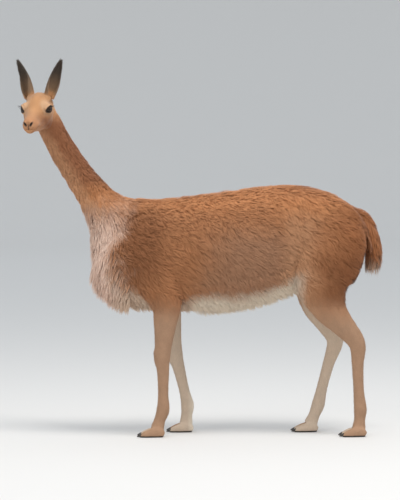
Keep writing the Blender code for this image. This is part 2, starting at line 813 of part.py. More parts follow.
def bib(body, collection):
    """Rows of flat locks on the front of the chest, each hanging over the roots of the row below."""
    mesh = body.data
    tree = BVHTree.FromPolygons([v.co for v in mesh.vertices], [tuple(p.vertices) for p in mesh.polygons])
    draw = random.Random(FLEECE_SEED + 1)
    made = []
    for height, count, length in BIB_ROWS:
        for k in range(count):
            x = (k - (count - 1) / 2) * BIB_APART + draw.uniform(-BIB_STRAY[0], BIB_STRAY[0])
            start = Vector((x, -0.62, height + draw.uniform(-BIB_STRAY[1], BIB_STRAY[1])))
            place, normal = tree.ray_cast(start, Vector((0.0, 1.0, 0.0)))[:2]
            if place is None:
                continue
            reach = length * draw.uniform(0.88, 1.12) / LOCK_STEPS
            points = [place - normal * LOCK_SUNK]
            outwards = [normal]
            swing = draw.uniform(-BIB_SWING, BIB_SWING)
            for i in range(LOCK_STEPS):
                fall = Vector((swing + x * BIB_FAN, BIB_FORWARD, -1.0)).normalized()
                place = place + fall * reach
                near, normal = tree.find_nearest(place)[:2]
                depth = (place - near).dot(normal)
                lift = BIB_LIFT[0] + BIB_LIFT[1] * i
                if depth < lift:
                    place = near + normal * lift
                points.append(place.copy())
                outwards.append((normal + Vector((0.0, -1.0, 0.0)) * 0.6).normalized())
            wide = LOCK_HALF_WIDTH * draw.uniform(0.88, 1.14)
            built = lock(points, outwards, wide, LOCK_HALF_THICK)
            made.append(new_object("bib", mesh_of(built, "bib"), collection))
    return made


def tail_locks(collection):
    """Locks round the tail in rows, which lie down along it and hang past its end."""
    rows = smooth_rows(TAIL_ROWS, 6)
    paths = [Vector(row[:3]) for row in rows]
    draw = random.Random(FLEECE_SEED + 2)
    made = []
    for start, count in TAIL_LOCK_ROWS:
        for k in range(count):
            angle = 2 * math.pi * (k + 0.5 * (count % 2)) / count
            angle += draw.uniform(-TAIL_LOCK_STRAY, TAIL_LOCK_STRAY)
            first = start * (len(rows) - 1)
            step = TAIL_LOCK_LENGTH * draw.uniform(0.9, 1.12) / LOCK_STEPS
            points = []
            outwards = []
            travelled = 0.0
            for i in range(LOCK_STEPS + 1):
                at = min(first + travelled, len(rows) - 1.001)
                low = int(at)
                here = paths[low].lerp(paths[low + 1], at - low)
                ahead = (paths[low + 1] - paths[low]).normalized()
                across = Vector((1.0, 0.0, 0.0))
                back = across.cross(ahead)
                out = (across * math.cos(angle) + back * math.sin(angle)).normalized()
                past = max(0.0, first + travelled - (len(rows) - 1)) * TAIL_LOCK_OVERHANG
                radius = math.hypot(rows[low][3] * math.cos(angle), rows[low][4] * math.sin(angle))
                radius = radius * TAIL_LOCK_LIFT[i]
                points.append(here + out * radius + ahead * past)
                outwards.append(out)
                travelled += step / (paths[low + 1] - paths[low]).length
            built = lock(points, outwards, TAIL_LOCK_HALF_WIDTH, LOCK_HALF_THICK)
            made.append(new_object("tail_lock", mesh_of(built, "tail_lock"), collection))
    return made


# Parting into nodes


def slab(name, point, normal, collection, size=1.2):
    """A large box that starts at a plane and lies on the side its normal points to."""
    built = bmesh.new()
    bmesh.ops.create_cube(built, size=size)
    turn = turn_to(normal, (1, 0, 0))
    place = Matrix.Translation(Vector(point) + Vector(normal).normalized() * size / 2) @ turn.to_4x4()
    bmesh.ops.transform(built, matrix=place, verts=built.verts)
    return new_object(name, mesh_of(built, name), collection)


# A leg's parting: the round top's centre and radius, the tilt of its sides, and the low box below it
LEG_ZONES = {
    "fore": {"centre": (-0.300, 0.585), "radius": 0.086, "low": (-0.405, -0.060, 0.428)},
    "hind": {"centre": (0.300, 0.670), "radius": 0.142, "low": (0.060, 0.620, 0.470)},
}
LEG_TOPS = {"fore": "shoulder", "hind": "thigh"}
ZONE_INSIDE = 0.022
ZONE_OUTSIDE = 0.300


def leg_zone(name, grow, collection):
    """The space that one leg is cut out of: a round-topped slab over shoulder or thigh, widened below."""
    zone = LEG_ZONES[name.split("_")[0]]
    side = 1 if name.endswith("left") else -1
    (cy, cz), radius = zone["centre"], zone["radius"] + grow
    front, back, top = zone["low"]
    outline = [(front - grow, -0.1), (front - grow, top + grow), (cy - radius, top + grow)]
    for k in range(13):
        angle = math.pi - math.pi * k / 12
        outline.append((cy + radius * math.cos(angle), cz + radius * math.sin(angle)))
    outline += [(cy + radius, top + grow), (back + grow, top + grow), (back + grow, -0.1)]
    rings = []
    for x in (ZONE_INSIDE - grow, ZONE_OUTSIDE):
        rings.append([np.array((side * x, y, z)) for y, z in outline])
    return new_object(name + "_zone", mesh_of(loft(rings), name), collection)


# The planes that part the neck from the torso and from the head: a point on each, and its normal
NECK_CUT = (Vector((0.0, -0.452, 0.792)), Vector((0.0, -0.50, 0.866)).normalized())
HEAD_CUT = (Vector((0.0, -0.676, 1.096)), Vector((0.10, -0.34, 0.93)).normalized())


def main():
    clear_scene()
    model = bpy.data.collections.new("vicuna")
    work = bpy.data.collections.new("work")
    for made in (model, work):
        bpy.context.scene.collection.children.link(made)

    # Body core
    neck_rows = thinned(NECK_ROWS, NECK_INSET, NECK_BARE_ABOVE, NECK_WOOLLY_BELOW)
    forms = [torso_form(-CORE_INSET), path_loft(neck_rows, LIMB_POWER)]
    feet = {}
    for name, side, rows in leg_names():
        leg = thinned(rows, CORE_INSET, LEGS_BARE_BELOW, LEGS_WOOLLY_ABOVE)
        forms.append(path_loft(leg, LIMB_POWER))
        feet[name] = rows[-1]
        forms += toe_forms(rows[-1])
    body = fused("body", forms, *BODY_FUSING, work)

    # Coat on the body
    boolean(body, fleece(body, work) + bib(body, work), "UNION")

    floor = slab("floor", (0, 0, 0), (0, 0, -1), work, 3.0)
    clefts = [cleft(foot, work) for foot in feet.values()]
    boolean(body, [floor, *clefts], "DIFFERENCE")

    # Nails
    nails = []
    sockets = []
    for name, foot in feet.items():
        for side, word in ((-1, "right"), (1, "left")):
            nails.append(nail(foot, side, 0.0, f"nail_{name}_{word}", model))
            sockets.append(nail(foot, side, GAP, "socket", work))
    boolean(body, sockets, "DIFFERENCE")

    # Parting of the body
    nodes = {}
    for name in feet:
        pair, side = name.split("_")
        level = LEG_ZONES[pair]["low"][2]
        leg = copy_of(body, "leg_" + name, model)
        boolean(leg, [leg_zone(name, 0.0, work)], "INTERSECT")
        upper = copy_of(leg, f"{LEG_TOPS[pair]}_{side}", model)
        boolean(upper, [slab("below", (0, 0, level + GAP), (0, 0, -1), work, 3.0)], "DIFFERENCE")
        boolean(leg, [slab("above", (0, 0, level), (0, 0, 1), work, 3.0)], "DIFFERENCE")
        nodes[leg.name] = leg
        nodes[upper.name] = upper
    above = slab("above", *NECK_CUT, work)
    neck = copy_of(body, "neck", model)
    boolean(neck, [above], "INTERSECT")
    point, normal = HEAD_CUT
    boolean(neck, [slab("past", point - normal * GAP, normal, work)], "DIFFERENCE")
    nodes["neck"] = neck
    torso = copy_of(body, "torso", model)
    point, normal = NECK_CUT
    cutters = [slab("above", point - normal * GAP, normal, work)]
    cutters += [leg_zone(name, GAP, work) for name in feet]
    boolean(torso, cutters, "DIFFERENCE")
    nodes["torso"] = torso

    # Head
    forms = [head_form(), path_loft(NECK_ROWS, LIMB_POWER), *head_extras()]
    head = fused("head", forms, *HEAD_FUSING, model)
    boolean(head, [slab("neck_end", *HEAD_CUT, work)], "INTERSECT")
    lids = [eye_ball("lid", side, LID_THICK, work) for side in (-1, 1)]
    boolean(head, lids, "UNION")
    cutters = [mouth(work), lip_cleft(work)]
    for side in (-1, 1):
        cutters += [eye_opening(side, work), eye_ball("socket", side, GAP, work), nostril(side, work)]
    boolean(head, cutters, "DIFFERENCE")
    nodes["head"] = head
    for side, word in ((-1, "right"), (1, "left")):
        nodes["eye_" + word] = eye_ball("eye_" + word, side, 0.0, model)
        made = ear("ear_" + word, side, model)
        boolean(made, [swollen(head, GAP, work)], "DIFFERENCE")
        nodes[made.name] = made

    # Tail
    tail = new_object("tail", mesh_of(path_loft(TAIL_ROWS, 2.0, 1, -TAIL_CORE_INSET, 8), "tail"), model)
    boolean(tail, tail_locks(work), "UNION")
    for made in (torso, nodes["thigh_left"], nodes["thigh_right"]):
        boolean(tail, [swollen(made, TAIL_GAP, work)], "DIFFERENCE")
    nodes["tail"] = tail

    bpy.data.objects.remove(body)
    for made in nodes.values():
        keep_largest(made)
        shade(made, DARK if made.name.startswith("eye") else FAWN, 0.9)
    for made in nails:
        shade(made, HORN, 0.5)

    # Origin under the middle of the model
    everything = [*nodes.values(), *nails]
    corners = np.array([v.co for made in everything for v in made.data.vertices])
    low, high = corners.min(0), corners.max(0)
    shift = Matrix.Translation((-(low[0] + high[0]) / 2, -(low[1] + high[1]) / 2, -low[2]))
    for made in everything:
        made.data.transform(shift)
        print(made.name, len(made.data.polygons))
    print("low", low, "high", high)


main()
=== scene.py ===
import math

import bmesh
import bpy
import numpy as np
from mathutils import Matrix, Vector
from mathutils.kdtree import KDTree


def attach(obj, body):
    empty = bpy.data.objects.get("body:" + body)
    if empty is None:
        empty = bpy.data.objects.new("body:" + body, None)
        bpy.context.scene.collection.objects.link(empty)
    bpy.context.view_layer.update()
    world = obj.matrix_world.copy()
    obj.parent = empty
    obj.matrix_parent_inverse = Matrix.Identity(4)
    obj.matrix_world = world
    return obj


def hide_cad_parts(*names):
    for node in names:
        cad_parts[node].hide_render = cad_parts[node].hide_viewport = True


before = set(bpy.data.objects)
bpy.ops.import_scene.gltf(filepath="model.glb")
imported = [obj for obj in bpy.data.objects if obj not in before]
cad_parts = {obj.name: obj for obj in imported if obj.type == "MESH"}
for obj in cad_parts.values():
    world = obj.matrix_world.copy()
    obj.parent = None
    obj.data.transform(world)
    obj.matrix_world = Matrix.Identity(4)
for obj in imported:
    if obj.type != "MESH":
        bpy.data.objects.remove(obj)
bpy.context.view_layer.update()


# Camera: it looks square on to the animal's left side and almost level, as the photograph does,
# through a long lens. The animal is tiny in the photograph, so the camera stands near enough here
# for its coat and head to be seen.
AIM = Vector((0.0, 0.0, 0.655))
CAMERA_TURN = math.radians(89)
CAMERA_TILT = math.radians(1.6)
CAMERA_AWAY = 7.35
LENS = 150
level = Vector((math.sin(CAMERA_TURN), -math.cos(CAMERA_TURN), 0.0))
view = level * math.cos(CAMERA_TILT) + Vector((0, 0, math.sin(CAMERA_TILT)))
camera_look = (-view).to_track_quat("-Z", "Y").to_euler()
bpy.ops.object.camera_add(location=AIM + view * CAMERA_AWAY, rotation=camera_look)
camera = bpy.context.object
camera.data.lens = LENS
camera.data.clip_end = 120
bpy.context.scene.camera = camera
bpy.context.scene.view_settings.view_transform = "Standard"


# Floor: one pale painted sheet that curves up into a wall far off, all round, so that no edge of it
# shows from any side. A large soft lamp stands for a high sun, with a weaker one for the open sky.
FLOOR_REACH = 24.0
WALL_BEND = 8.0
WALL_STEPS = 12
FLOOR_PAINT = (0.74, 0.73, 0.715, 1)
SKY_COLOUR = (0.90, 0.95, 1.0, 1)
SKY_STRENGTH = 0.80
LAMP_COLOUR = (1.0, 0.965, 0.92)
LAMPS = (
    ((1.6, 1.2, 5.0), 2.2, 165), ((5.0, -4.0, 3.6), 4.0, 70),
)
bpy.ops.object.select_all(action="DESELECT")
bpy.ops.mesh.primitive_circle_add(vertices=96, radius=FLOOR_REACH, fill_type="NGON")
floor = bpy.context.object
floor.name = "floor"
bpy.ops.object.mode_set(mode="EDIT")
bpy.ops.mesh.select_all(action="SELECT")
bpy.ops.mesh.select_mode(type="EDGE")
bpy.ops.mesh.select_all(action="DESELECT")
bpy.ops.mesh.select_non_manifold()
for k in range(WALL_STEPS):
    last = math.radians(90 * k / WALL_STEPS)
    turned = math.radians(90 * (k + 1) / WALL_STEPS)
    out = WALL_BEND * (math.sin(turned) - math.sin(last))
    up = WALL_BEND * (math.cos(last) - math.cos(turned))
    reach = FLOOR_REACH + WALL_BEND * math.sin(last)
    bpy.ops.mesh.extrude_edges_move(TRANSFORM_OT_translate={"value": (0, 0, up)})
    grow = (reach + out) / reach
    bpy.ops.transform.resize(value=(grow, grow, 1), center_override=(0, 0, 0))
bpy.ops.object.mode_set(mode="OBJECT")
bpy.ops.object.shade_smooth()
paint = bpy.data.materials.new("pale floor paint")
paint.use_nodes = True
matt = paint.node_tree.nodes["Principled BSDF"]
matt.inputs["Base Color"].default_value = FLOOR_PAINT
matt.inputs["Roughness"].default_value = 0.85
floor.data.materials.append(paint)

world = bpy.data.worlds.new("sky")
bpy.context.scene.world = world
world.use_nodes = True
world.node_tree.nodes["Background"].inputs["Color"].default_value = SKY_COLOUR
world.node_tree.nodes["Background"].inputs["Strength"].default_value = SKY_STRENGTH
for place, size, power in LAMPS:
    lamp_look = (AIM - Vector(place)).to_track_quat("-Z", "Y").to_euler()
    bpy.ops.object.light_add(type="AREA", location=place, rotation=lamp_look)
    lamp = bpy.context.object
    lamp.data.size = size
    lamp.data.energy = power
    lamp.data.color = LAMP_COLOUR


# Hide of the trunk, neck, legs and tail: the tanned skin over the padded form. It is one closed hide,
# drawn in from the outline by the depth of the fleece, and its shape is what the coat grows on.
STAND = Vector((-0.03026, 0.14824, 0.0))
FLEECE_DEPTH = 0.0095
NECK_DEPTH = 0.0075
SHORT_DEPTH = 0.0018
TAIL_DEPTH = 0.008
TRUNK = (
    (-0.500, 0.702, 0.622, 0.044), (-0.480, 0.754, 0.560, 0.076), (-0.430, 0.804, 0.494, 0.100),
    (-0.335, 0.832, 0.436, 0.116), (-0.190, 0.846, 0.430, 0.130), (-0.030, 0.866, 0.444, 0.137),
    (0.100, 0.886, 0.484, 0.133), (0.195, 0.893, 0.536, 0.126), (0.285, 0.872, 0.590, 0.118),
    (0.365, 0.822, 0.640, 0.104), (0.420, 0.760, 0.672, 0.076), (0.444, 0.722, 0.690, 0.044),
)
NECK = (
    (0.000, -0.340, 0.620, 0.092, 0.130), (0.000, -0.430, 0.730, 0.078, 0.096),
    (0.000, -0.509, 0.830, 0.060, 0.065), (0.000, -0.586, 0.935, 0.050, 0.052),
    (0.002, -0.647, 1.035, 0.046, 0.048), (0.008, -0.684, 1.110, 0.041, 0.044),
    (0.012, -0.694, 1.138, 0.032, 0.034),
)
FORE_LEG = (
    (0.068, -0.335, 0.660, 0.050, 0.088), (0.083, -0.305, 0.560, 0.050, 0.078),
    (0.086, -0.268, 0.470, 0.041, 0.058), (0.084, -0.270, 0.400, 0.033, 0.043),
    (0.082, -0.276, 0.320, 0.027, 0.032), (0.080, -0.280, 0.275, 0.027, 0.031),
    (0.079, -0.276, 0.235, 0.022, 0.024), (0.078, -0.274, 0.150, 0.0185, 0.0205),
    (0.078, -0.274, 0.096, 0.022, 0.025), (0.078, -0.285, 0.060, 0.020, 0.022),
    (0.078, -0.294, 0.028, 0.023, 0.027),
)
HIND_LEG = (
    (0.062, 0.300, 0.765, 0.052, 0.092), (0.078, 0.306, 0.690, 0.057, 0.130),
    (0.084, 0.292, 0.610, 0.056, 0.126), (0.086, 0.278, 0.535, 0.049, 0.101),
    (0.084, 0.292, 0.455, 0.039, 0.066), (0.081, 0.330, 0.394, 0.030, 0.044),
    (0.079, 0.364, 0.346, 0.0245, 0.035), (0.078, 0.372, 0.310, 0.023, 0.030),
    (0.077, 0.362, 0.250, 0.019, 0.023), (0.076, 0.352, 0.160, 0.0185, 0.021),
    (0.076, 0.348, 0.098, 0.022, 0.025), (0.076, 0.340, 0.060, 0.020, 0.022),
    (0.076, 0.332, 0.028, 0.023, 0.027),
)
STANCE = (
    ("fore_left", 1, -0.006, FORE_LEG, 0.47), ("fore_right", -1, 0.104, FORE_LEG, 0.47),
    ("hind_left", 1, 0.082, HIND_LEG, 0.53), ("hind_right", -1, -0.086, HIND_LEG, 0.53),
)
TOE = (
    (-0.024, 0.0100, 0.020), (-0.006, 0.0155, 0.036), (0.020, 0.0165, 0.033),
    (0.044, 0.0145, 0.023), (0.060, 0.0085, 0.013),
)
TOE_APART = 0.016
TOE_SPLAY = 0.006
HOOF_BASE = 0.005
SOLE_HEIGHT = 0.0006
# Where the neck's back line runs into the withers, how far the hollow is filled, and how wide
WITHERS = (0.0, -0.422, 0.838)
WITHERS_REACH = (0.060, 0.026, 0.030)
WITHERS_FILL = 0.0045
# Rounded masses under the hide: place, radii and tip in degrees
MIDDLE_MASSES = (
    ((0, -0.347, 0.764), (0.062, 0.122, 0.066), -5), ((0, -0.412, 0.787), (0.054, 0.056, 0.046), -36),
    ((0, -0.456, 0.668), (0.062, 0.046, 0.080), 0), ((0.001, -0.698, 1.128), (0.033, 0.042, 0.056), 0),
)
SHOULDER_MASSES = (
    ((0.080, -0.285, 0.540), (0.032, 0.052, 0.085), 0), ((0.060, -0.335, 0.680), (0.036, 0.086, 0.100), 18),
)
THIGH_MASSES = (
    ((0.078, 0.262, 0.600), (0.040, 0.085, 0.095), 0), ((0.062, 0.312, 0.725), (0.040, 0.105, 0.105), 0),
)
# Knee cap and point of the hock: how far in front of the leg's line, height and radii
KNEE = (-0.020, 0.292, (0.017, 0.010, 0.026), 0)
HOCK = (0.030, 0.388, (0.0115, 0.014, 0.024), -20)
JOINT_APART = 0.080
TAIL = (
    (0.0, 0.350, 0.770, 0.034, 0.032), (0.0, 0.408, 0.778, 0.034, 0.028), (0.0, 0.448, 0.754, 0.034, 0.022),
    (0.0, 0.466, 0.706, 0.034, 0.019), (0.0, 0.466, 0.655, 0.029, 0.016), (0.0, 0.462, 0.618, 0.016, 0.012),
)


def between(rows, steps):
    """Rows with more of them set in between, on a smooth curve through the measured ones."""
    rows = np.array(rows, float)
    ends = np.vstack((2 * rows[0] - rows[1], rows, 2 * rows[-1] - rows[-2]))
    made = []
    for a, b, c, d in zip(ends, ends[1:], ends[2:], ends[3:]):
        for t in np.arange(steps) / steps:
            curve = 2 * b + (c - a) * t + (2 * a - 5 * b + 4 * c - d) * t**2 + (3 * b - a - 3 * c + d) * t**3
            made.append(curve / 2)
    made.append(rows[-1])
    return np.array(made)


def pick(*pieces):
    """Picks out the pieces that the next tool works on, the first of them above all."""
    bpy.ops.object.select_all(action="DESELECT")
    for piece in pieces:
        piece.select_set(True)
    bpy.context.view_layer.objects.active = pieces[0]


def all_over(tool, **settings):
    """Uses one mesh tool on the whole of the active piece."""
    bpy.ops.object.mode_set(mode="EDIT")
    bpy.ops.mesh.select_all(action="SELECT")
    tool(**settings)
    bpy.ops.object.mode_set(mode="OBJECT")


def tube(rows, sides=28):
    """A closed tube, extruded ring by ring along rows of x, y, z, half width and half depth."""
    places = rows[:, :3]
    ahead = np.gradient(places, axis=0)
    lean = np.unwrap(np.arctan2(-ahead[:, 1], ahead[:, 2]))
    bpy.ops.object.select_all(action="DESELECT")
    bpy.ops.mesh.primitive_circle_add(vertices=sides, radius=1, fill_type="NGON", location=places[0],
                                      rotation=(lean[0], 0, 0), scale=(1, 1, 1))
    piece = bpy.context.object
    bpy.ops.object.transform_apply(location=True, rotation=True, scale=True)
    bpy.ops.object.mode_set(mode="EDIT")
    bpy.ops.mesh.select_all(action="SELECT")
    across, deep = rows[0, 3:]
    bpy.ops.transform.resize(value=(across, deep, deep), center_override=places[0])
    for i in range(1, len(rows)):
        bpy.ops.mesh.extrude_region_move(TRANSFORM_OT_translate={"value": places[i] - places[i - 1]})
        wide, thick = rows[i, 3:] / rows[i - 1, 3:]
        bpy.ops.transform.resize(value=(wide, thick, thick), center_override=places[i])
        turn = lean[i - 1] - lean[i]
        bpy.ops.transform.rotate(value=turn, orient_axis="X", center_override=places[i])
    bpy.ops.object.mode_set(mode="OBJECT")
    all_over(bpy.ops.mesh.normals_make_consistent, inside=False)
    return piece


def mass(place, radii, turn=(0, 0, 0), sides=24):
    """A rounded muscle, bone end or pad, with three radii."""
    bpy.ops.object.select_all(action="DESELECT")
    bpy.ops.mesh.primitive_uv_sphere_add(segments=sides, ring_count=sides // 2 + 2, radius=1, location=place,
                                         rotation=turn, scale=radii)
    return bpy.context.object


def joined(name, pieces):
    """Several pieces as one, with its place in its mesh."""
    pick(*pieces)
    bpy.ops.object.join()
    bpy.ops.object.transform_apply(location=True, rotation=True, scale=True)
    bpy.context.object.name = name
    return bpy.context.object


def finish_with(piece, kind, **settings):
    """Adds one modifier to a piece and applies it."""
    pick(piece)
    modifier = piece.modifiers.new(kind.lower(), kind)
    for setting, value in settings.items():
        setattr(modifier, setting, value)
    bpy.ops.object.modifier_apply(modifier=modifier.name)


def cut(piece, others, operation="DIFFERENCE"):
    """Takes one piece from another, or adds it, and removes what was taken or added."""
    finish_with(piece, "BOOLEAN", operation=operation, solver="MANIFOLD", object=others)
    bpy.data.objects.remove(others)


def rows_of(parts, field, wide, kind=float):
    """What a mesh says in one field of its points, edges, corners or triangles, a row for each."""
    found = np.empty(len(parts) * wide, kind)
    parts.foreach_get(field, found)
    return found.reshape(-1, wide)


def swell(piece, amount):
    """Moves a piece's skin out or in along its normals, by an amount worked out from each place."""
    mesh = piece.data
    places = rows_of(mesh.vertices, "co", 3)
    places = places + rows_of(mesh.vertices, "normal", 3) * amount(places)[:, None]
    mesh.vertices.foreach_set("co", places.reshape(-1))
    mesh.update()


def drawn_in(rows, depth, bare, full):
    """Rows drawn in by the short coat's depth up to one height, and by the fleece's from another."""
    rows = np.array(rows, float)
    share = np.clip((rows[:, 2] - bare) / (full - bare), 0, 1)
    rows[:, 3] -= SHORT_DEPTH + (depth - SHORT_DEPTH) * share
    rows[:, 4] -= SHORT_DEPTH + (depth - SHORT_DEPTH) * share
    return rows


trunk_rows = between(TRUNK, 4)
trunk_tube = np.column_stack((
    np.zeros(len(trunk_rows)), trunk_rows[:, 0], (trunk_rows[:, 1] + trunk_rows[:, 2]) / 2,
    trunk_rows[:, 3] - FLEECE_DEPTH, (trunk_rows[:, 1] - trunk_rows[:, 2]) / 2 - FLEECE_DEPTH,
))
hide_parts = [tube(trunk_tube, 36)]
hide_parts.append(tube(between(drawn_in(NECK, NECK_DEPTH, 1.11, 1.00), 4)))
hide_parts += [mass(place, radii, (math.radians(tip), 0, 0)) for place, radii, tip in MIDDLE_MASSES]
tail_rows = np.array(TAIL, float)
tail_rows[:, 3:] -= TAIL_DEPTH
hide_parts.append(tube(between(tail_rows, 4), 16))
ankles = {}
for name, side, back, leg, leans_from in STANCE:
    rows = drawn_in(leg, FLEECE_DEPTH, 0.42, 0.54)
    rows[:, 0] *= side
    rows[:, 1] += back * np.clip(1 - rows[:, 2] / leans_from, 0, None)
    hide_parts.append(tube(between(rows, 4), 24))
    ankles[name] = rows[-1]
    x, y = rows[-1, :2]
    fine = between(TOE, 4)
    for toe in (-1, 1):
        apart = toe * (TOE_APART + TOE_SPLAY * np.clip(fine[:, 0], 0, None) / TOE[-1][0])
        top = fine[:, 2] - SHORT_DEPTH
        toe_rows = np.column_stack((x + apart, y - fine[:, 0], (top - HOOF_BASE) / 2, fine[:, 1] - 0.0012,
                                    (top + HOOF_BASE) / 2))
        hide_parts.append(tube(toe_rows, 16))
    past_line, high, radii, tip = KNEE if name.startswith("fore") else HOCK
    joint_y = leg[5][1] + back * (1 - high / leans_from) + past_line
    hide_parts.append(mass((side * JOINT_APART, joint_y, high), radii, (math.radians(tip), 0, 0)))
    for place, radii, tip in SHOULDER_MASSES if name.startswith("fore") else THIGH_MASSES:
        hide_parts.append(mass((side * place[0], *place[1:]), radii, (math.radians(tip), 0, 0)))
hide = joined("hide", hide_parts)
finish_with(hide, "REMESH", mode="VOXEL", voxel_size=0.0038)
finish_with(hide, "SMOOTH", factor=0.5, iterations=16)
swell(hide, lambda places: WITHERS_FILL * np.exp(-(((places - WITHERS) / WITHERS_REACH) ** 2).sum(1)))
finish_with(hide, "DECIMATE", ratio=0.27)
all_over(bpy.ops.mesh.bisect, plane_co=(0, 0, SOLE_HEIGHT), plane_no=(0, 0, 1), use_fill=True,
         clear_inner=True)
# The cleft between the two toes of each foot: its slot's size, middle and slope
CLEFT = (0.0042, 0.085, 0.062)
CLEFT_AHEAD = 0.053
CLEFT_HEIGHT = 0.008
CLEFT_SLOPE = math.radians(16)
clefts = []
for ankle in ankles.values():
    bpy.ops.object.select_all(action="DESELECT")
    bpy.ops.mesh.primitive_cube_add(size=1, location=(ankle[0], ankle[1] - CLEFT_AHEAD, CLEFT_HEIGHT),
                                    rotation=(CLEFT_SLOPE, 0, 0), scale=CLEFT)
    clefts.append(bpy.context.object)
cut(hide, joined("clefts", clefts))


# Head: a small wedge with a high round brow, heavy jaw muscles, a narrow muzzle and a split upper lip.
# It is made straight, with its face along -Y, then turned to its left and tipped down on the neck.
HEAD = (
    (-0.014, 0.020, 0.020, 0.026), (0.002, 0.037, 0.037, 0.046), (0.030, 0.048, 0.053, 0.062),
    (0.062, 0.051, 0.0575, 0.068), (0.094, 0.0475, 0.050, 0.0650), (0.126, 0.0370, 0.0380, 0.054),
    (0.156, 0.0295, 0.0315, 0.043), (0.184, 0.0262, 0.028, 0.037), (0.205, 0.0245, 0.025, 0.033),
    (0.219, 0.0190, 0.0190, 0.026),
)
FACE_DEPTH = 0.0012
POLL = Vector((-0.006, -0.706, 1.168))
HEAD_TURN = math.radians(80)
HEAD_TIP = math.radians(22)
EYE_RADIUS = 0.0188
EYE_AT = Vector((0.0352, -0.088, 0.0165))
EYE_LOOK = Vector((0.90, -0.42, 0.06)).normalized()
LID_THICK = 0.0034
EYE_OPENING = (0.0168, 0.0112)
MOUTH_CORNER = 0.140
MOUTH_SLOPE = 0.168
MOUTH_DROP = 0.0495
NOSTRIL = Vector((0.0104, -0.2215, 0.0072))
NOSTRIL_LEAN = math.radians(36)
forward = Vector((math.sin(HEAD_TURN) * math.cos(HEAD_TIP), -math.cos(HEAD_TURN) * math.cos(HEAD_TIP),
                  -math.sin(HEAD_TIP)))
leftward = Vector((math.cos(HEAD_TURN), math.sin(HEAD_TURN), 0))
upward = forward.cross(leftward)
head_set = Matrix((leftward, -forward, upward)).transposed().to_4x4()
head_set.translation = POLL


def eye_frame(side):
    """An eye's place and turn in the straight head: its Z looks out and its Y lies up the face."""
    out = Vector((EYE_LOOK.x * side, EYE_LOOK.y, EYE_LOOK.z))
    across = Vector((0, -0.12, 1)).cross(out).normalized()
    turn = Matrix((across, out.cross(across), out)).transposed().to_4x4()
    turn.translation = Vector((EYE_AT.x * side, EYE_AT.y, EYE_AT.z))
    return turn


def almond(angle):
    """A point of the lids' opening."""
    high = math.sin(angle) * abs(math.sin(angle)) ** 0.35
    return math.cos(angle) * EYE_OPENING[0], high * EYE_OPENING[1]


head_rows = between(HEAD, 4)
head_tube = np.column_stack((
    np.zeros(len(head_rows)), -head_rows[:, 0], (head_rows[:, 2] - head_rows[:, 3]) / 2,
    head_rows[:, 1] - FACE_DEPTH, (head_rows[:, 2] + head_rows[:, 3]) / 2 - FACE_DEPTH,
))
# Chin and bridge of the nose: place, radii and tip in degrees
FACE_MASSES = (
    ((0, -0.198, -0.0235), (0.0140, 0.0170, 0.0105), 0), ((0, -0.150, 0.0210), (0.0120, 0.058, 0.0100), 6),
)
# Brow, jaw muscle, cheek bone, upper lip, cheek, nostril's wing and temple on the left: place, radii
# and how far each is turned in with the muzzle, in degrees
CHEEK_MASSES = (
    ((0.0345, -0.084, 0.0235), (0.0150, 0.0290, 0.0130), 0),
    ((0.0262, -0.062, -0.0305), (0.0215, 0.0400, 0.0340), 0),
    ((0.0325, -0.102, -0.0070), (0.0105, 0.0360, 0.0070), 14),
    ((0.0105, -0.207, -0.0015), (0.0118, 0.0185, 0.0125), 0),
    ((0.0190, -0.190, -0.0050), (0.0080, 0.0270, 0.0095), 14),
    ((0.0118, -0.2135, 0.0100), (0.0068, 0.0085, 0.0070), 0),
    ((0.0250, -0.046, 0.0300), (0.0190, 0.0220, 0.0210), 0),
)
head_parts = [tube(head_tube, 32)]
head_parts += [mass(place, radii, (math.radians(tip), 0, 0)) for place, radii, tip in FACE_MASSES]
for side in (-1, 1):
    for place, radii, aslant in CHEEK_MASSES:
        place = (side * place[0], *place[1:])
        head_parts.append(mass(place, radii, (0, 0, side * math.radians(-aslant))))
    turn = eye_frame(side)
    head_parts.append(mass(turn.translation, (EYE_RADIUS + LID_THICK,) * 3, turn.to_euler(), 48))
head = joined("head", head_parts)
finish_with(head, "REMESH", mode="VOXEL", voxel_size=0.0024)
finish_with(head, "SMOOTH", factor=0.5, iterations=7)
# Soft hollows and swellings: place, radii and how far the skin is moved out
HOLLOWS = (
    ((0.0430, -0.052, 0.0260), (0.012, 0.015, 0.014), -0.0034),
    ((0.0350, -0.1180, 0.0060), (0.012, 0.014, 0.009), -0.0030),
    ((0.0310, -0.1350, -0.0170), (0.014, 0.020, 0.010), -0.0026),
    ((0.0260, -0.1640, 0.0040), (0.010, 0.020, 0.012), -0.0022),
    ((0.0300, -0.1050, -0.0500), (0.016, 0.016, 0.012), -0.0022),
    ((0.0210, -0.1420, -0.0245), (0.009, 0.006, 0.006), 0.0016),
    ((0.0150, -0.2050, -0.0225), (0.012, 0.014, 0.0028), -0.0020),
    ((0.0000, -0.2240, 0.0125), (0.0035, 0.008, 0.006), -0.0012),
)


def hollows(places):
    """How far the head's skin moves out at each place."""
    beside = np.abs(places) * (1, 0, 0) + places * (0, 1, 1)
    moved = np.zeros(len(places))
    for place, radii, amount in HOLLOWS:
        moved += amount * np.exp(-(((beside - place) / radii) ** 2).sum(1))
    return moved


swell(head, hollows)
finish_with(head, "REMESH", mode="VOXEL", voxel_size=0.0015)
finish_with(head, "SMOOTH", factor=0.5, iterations=2)
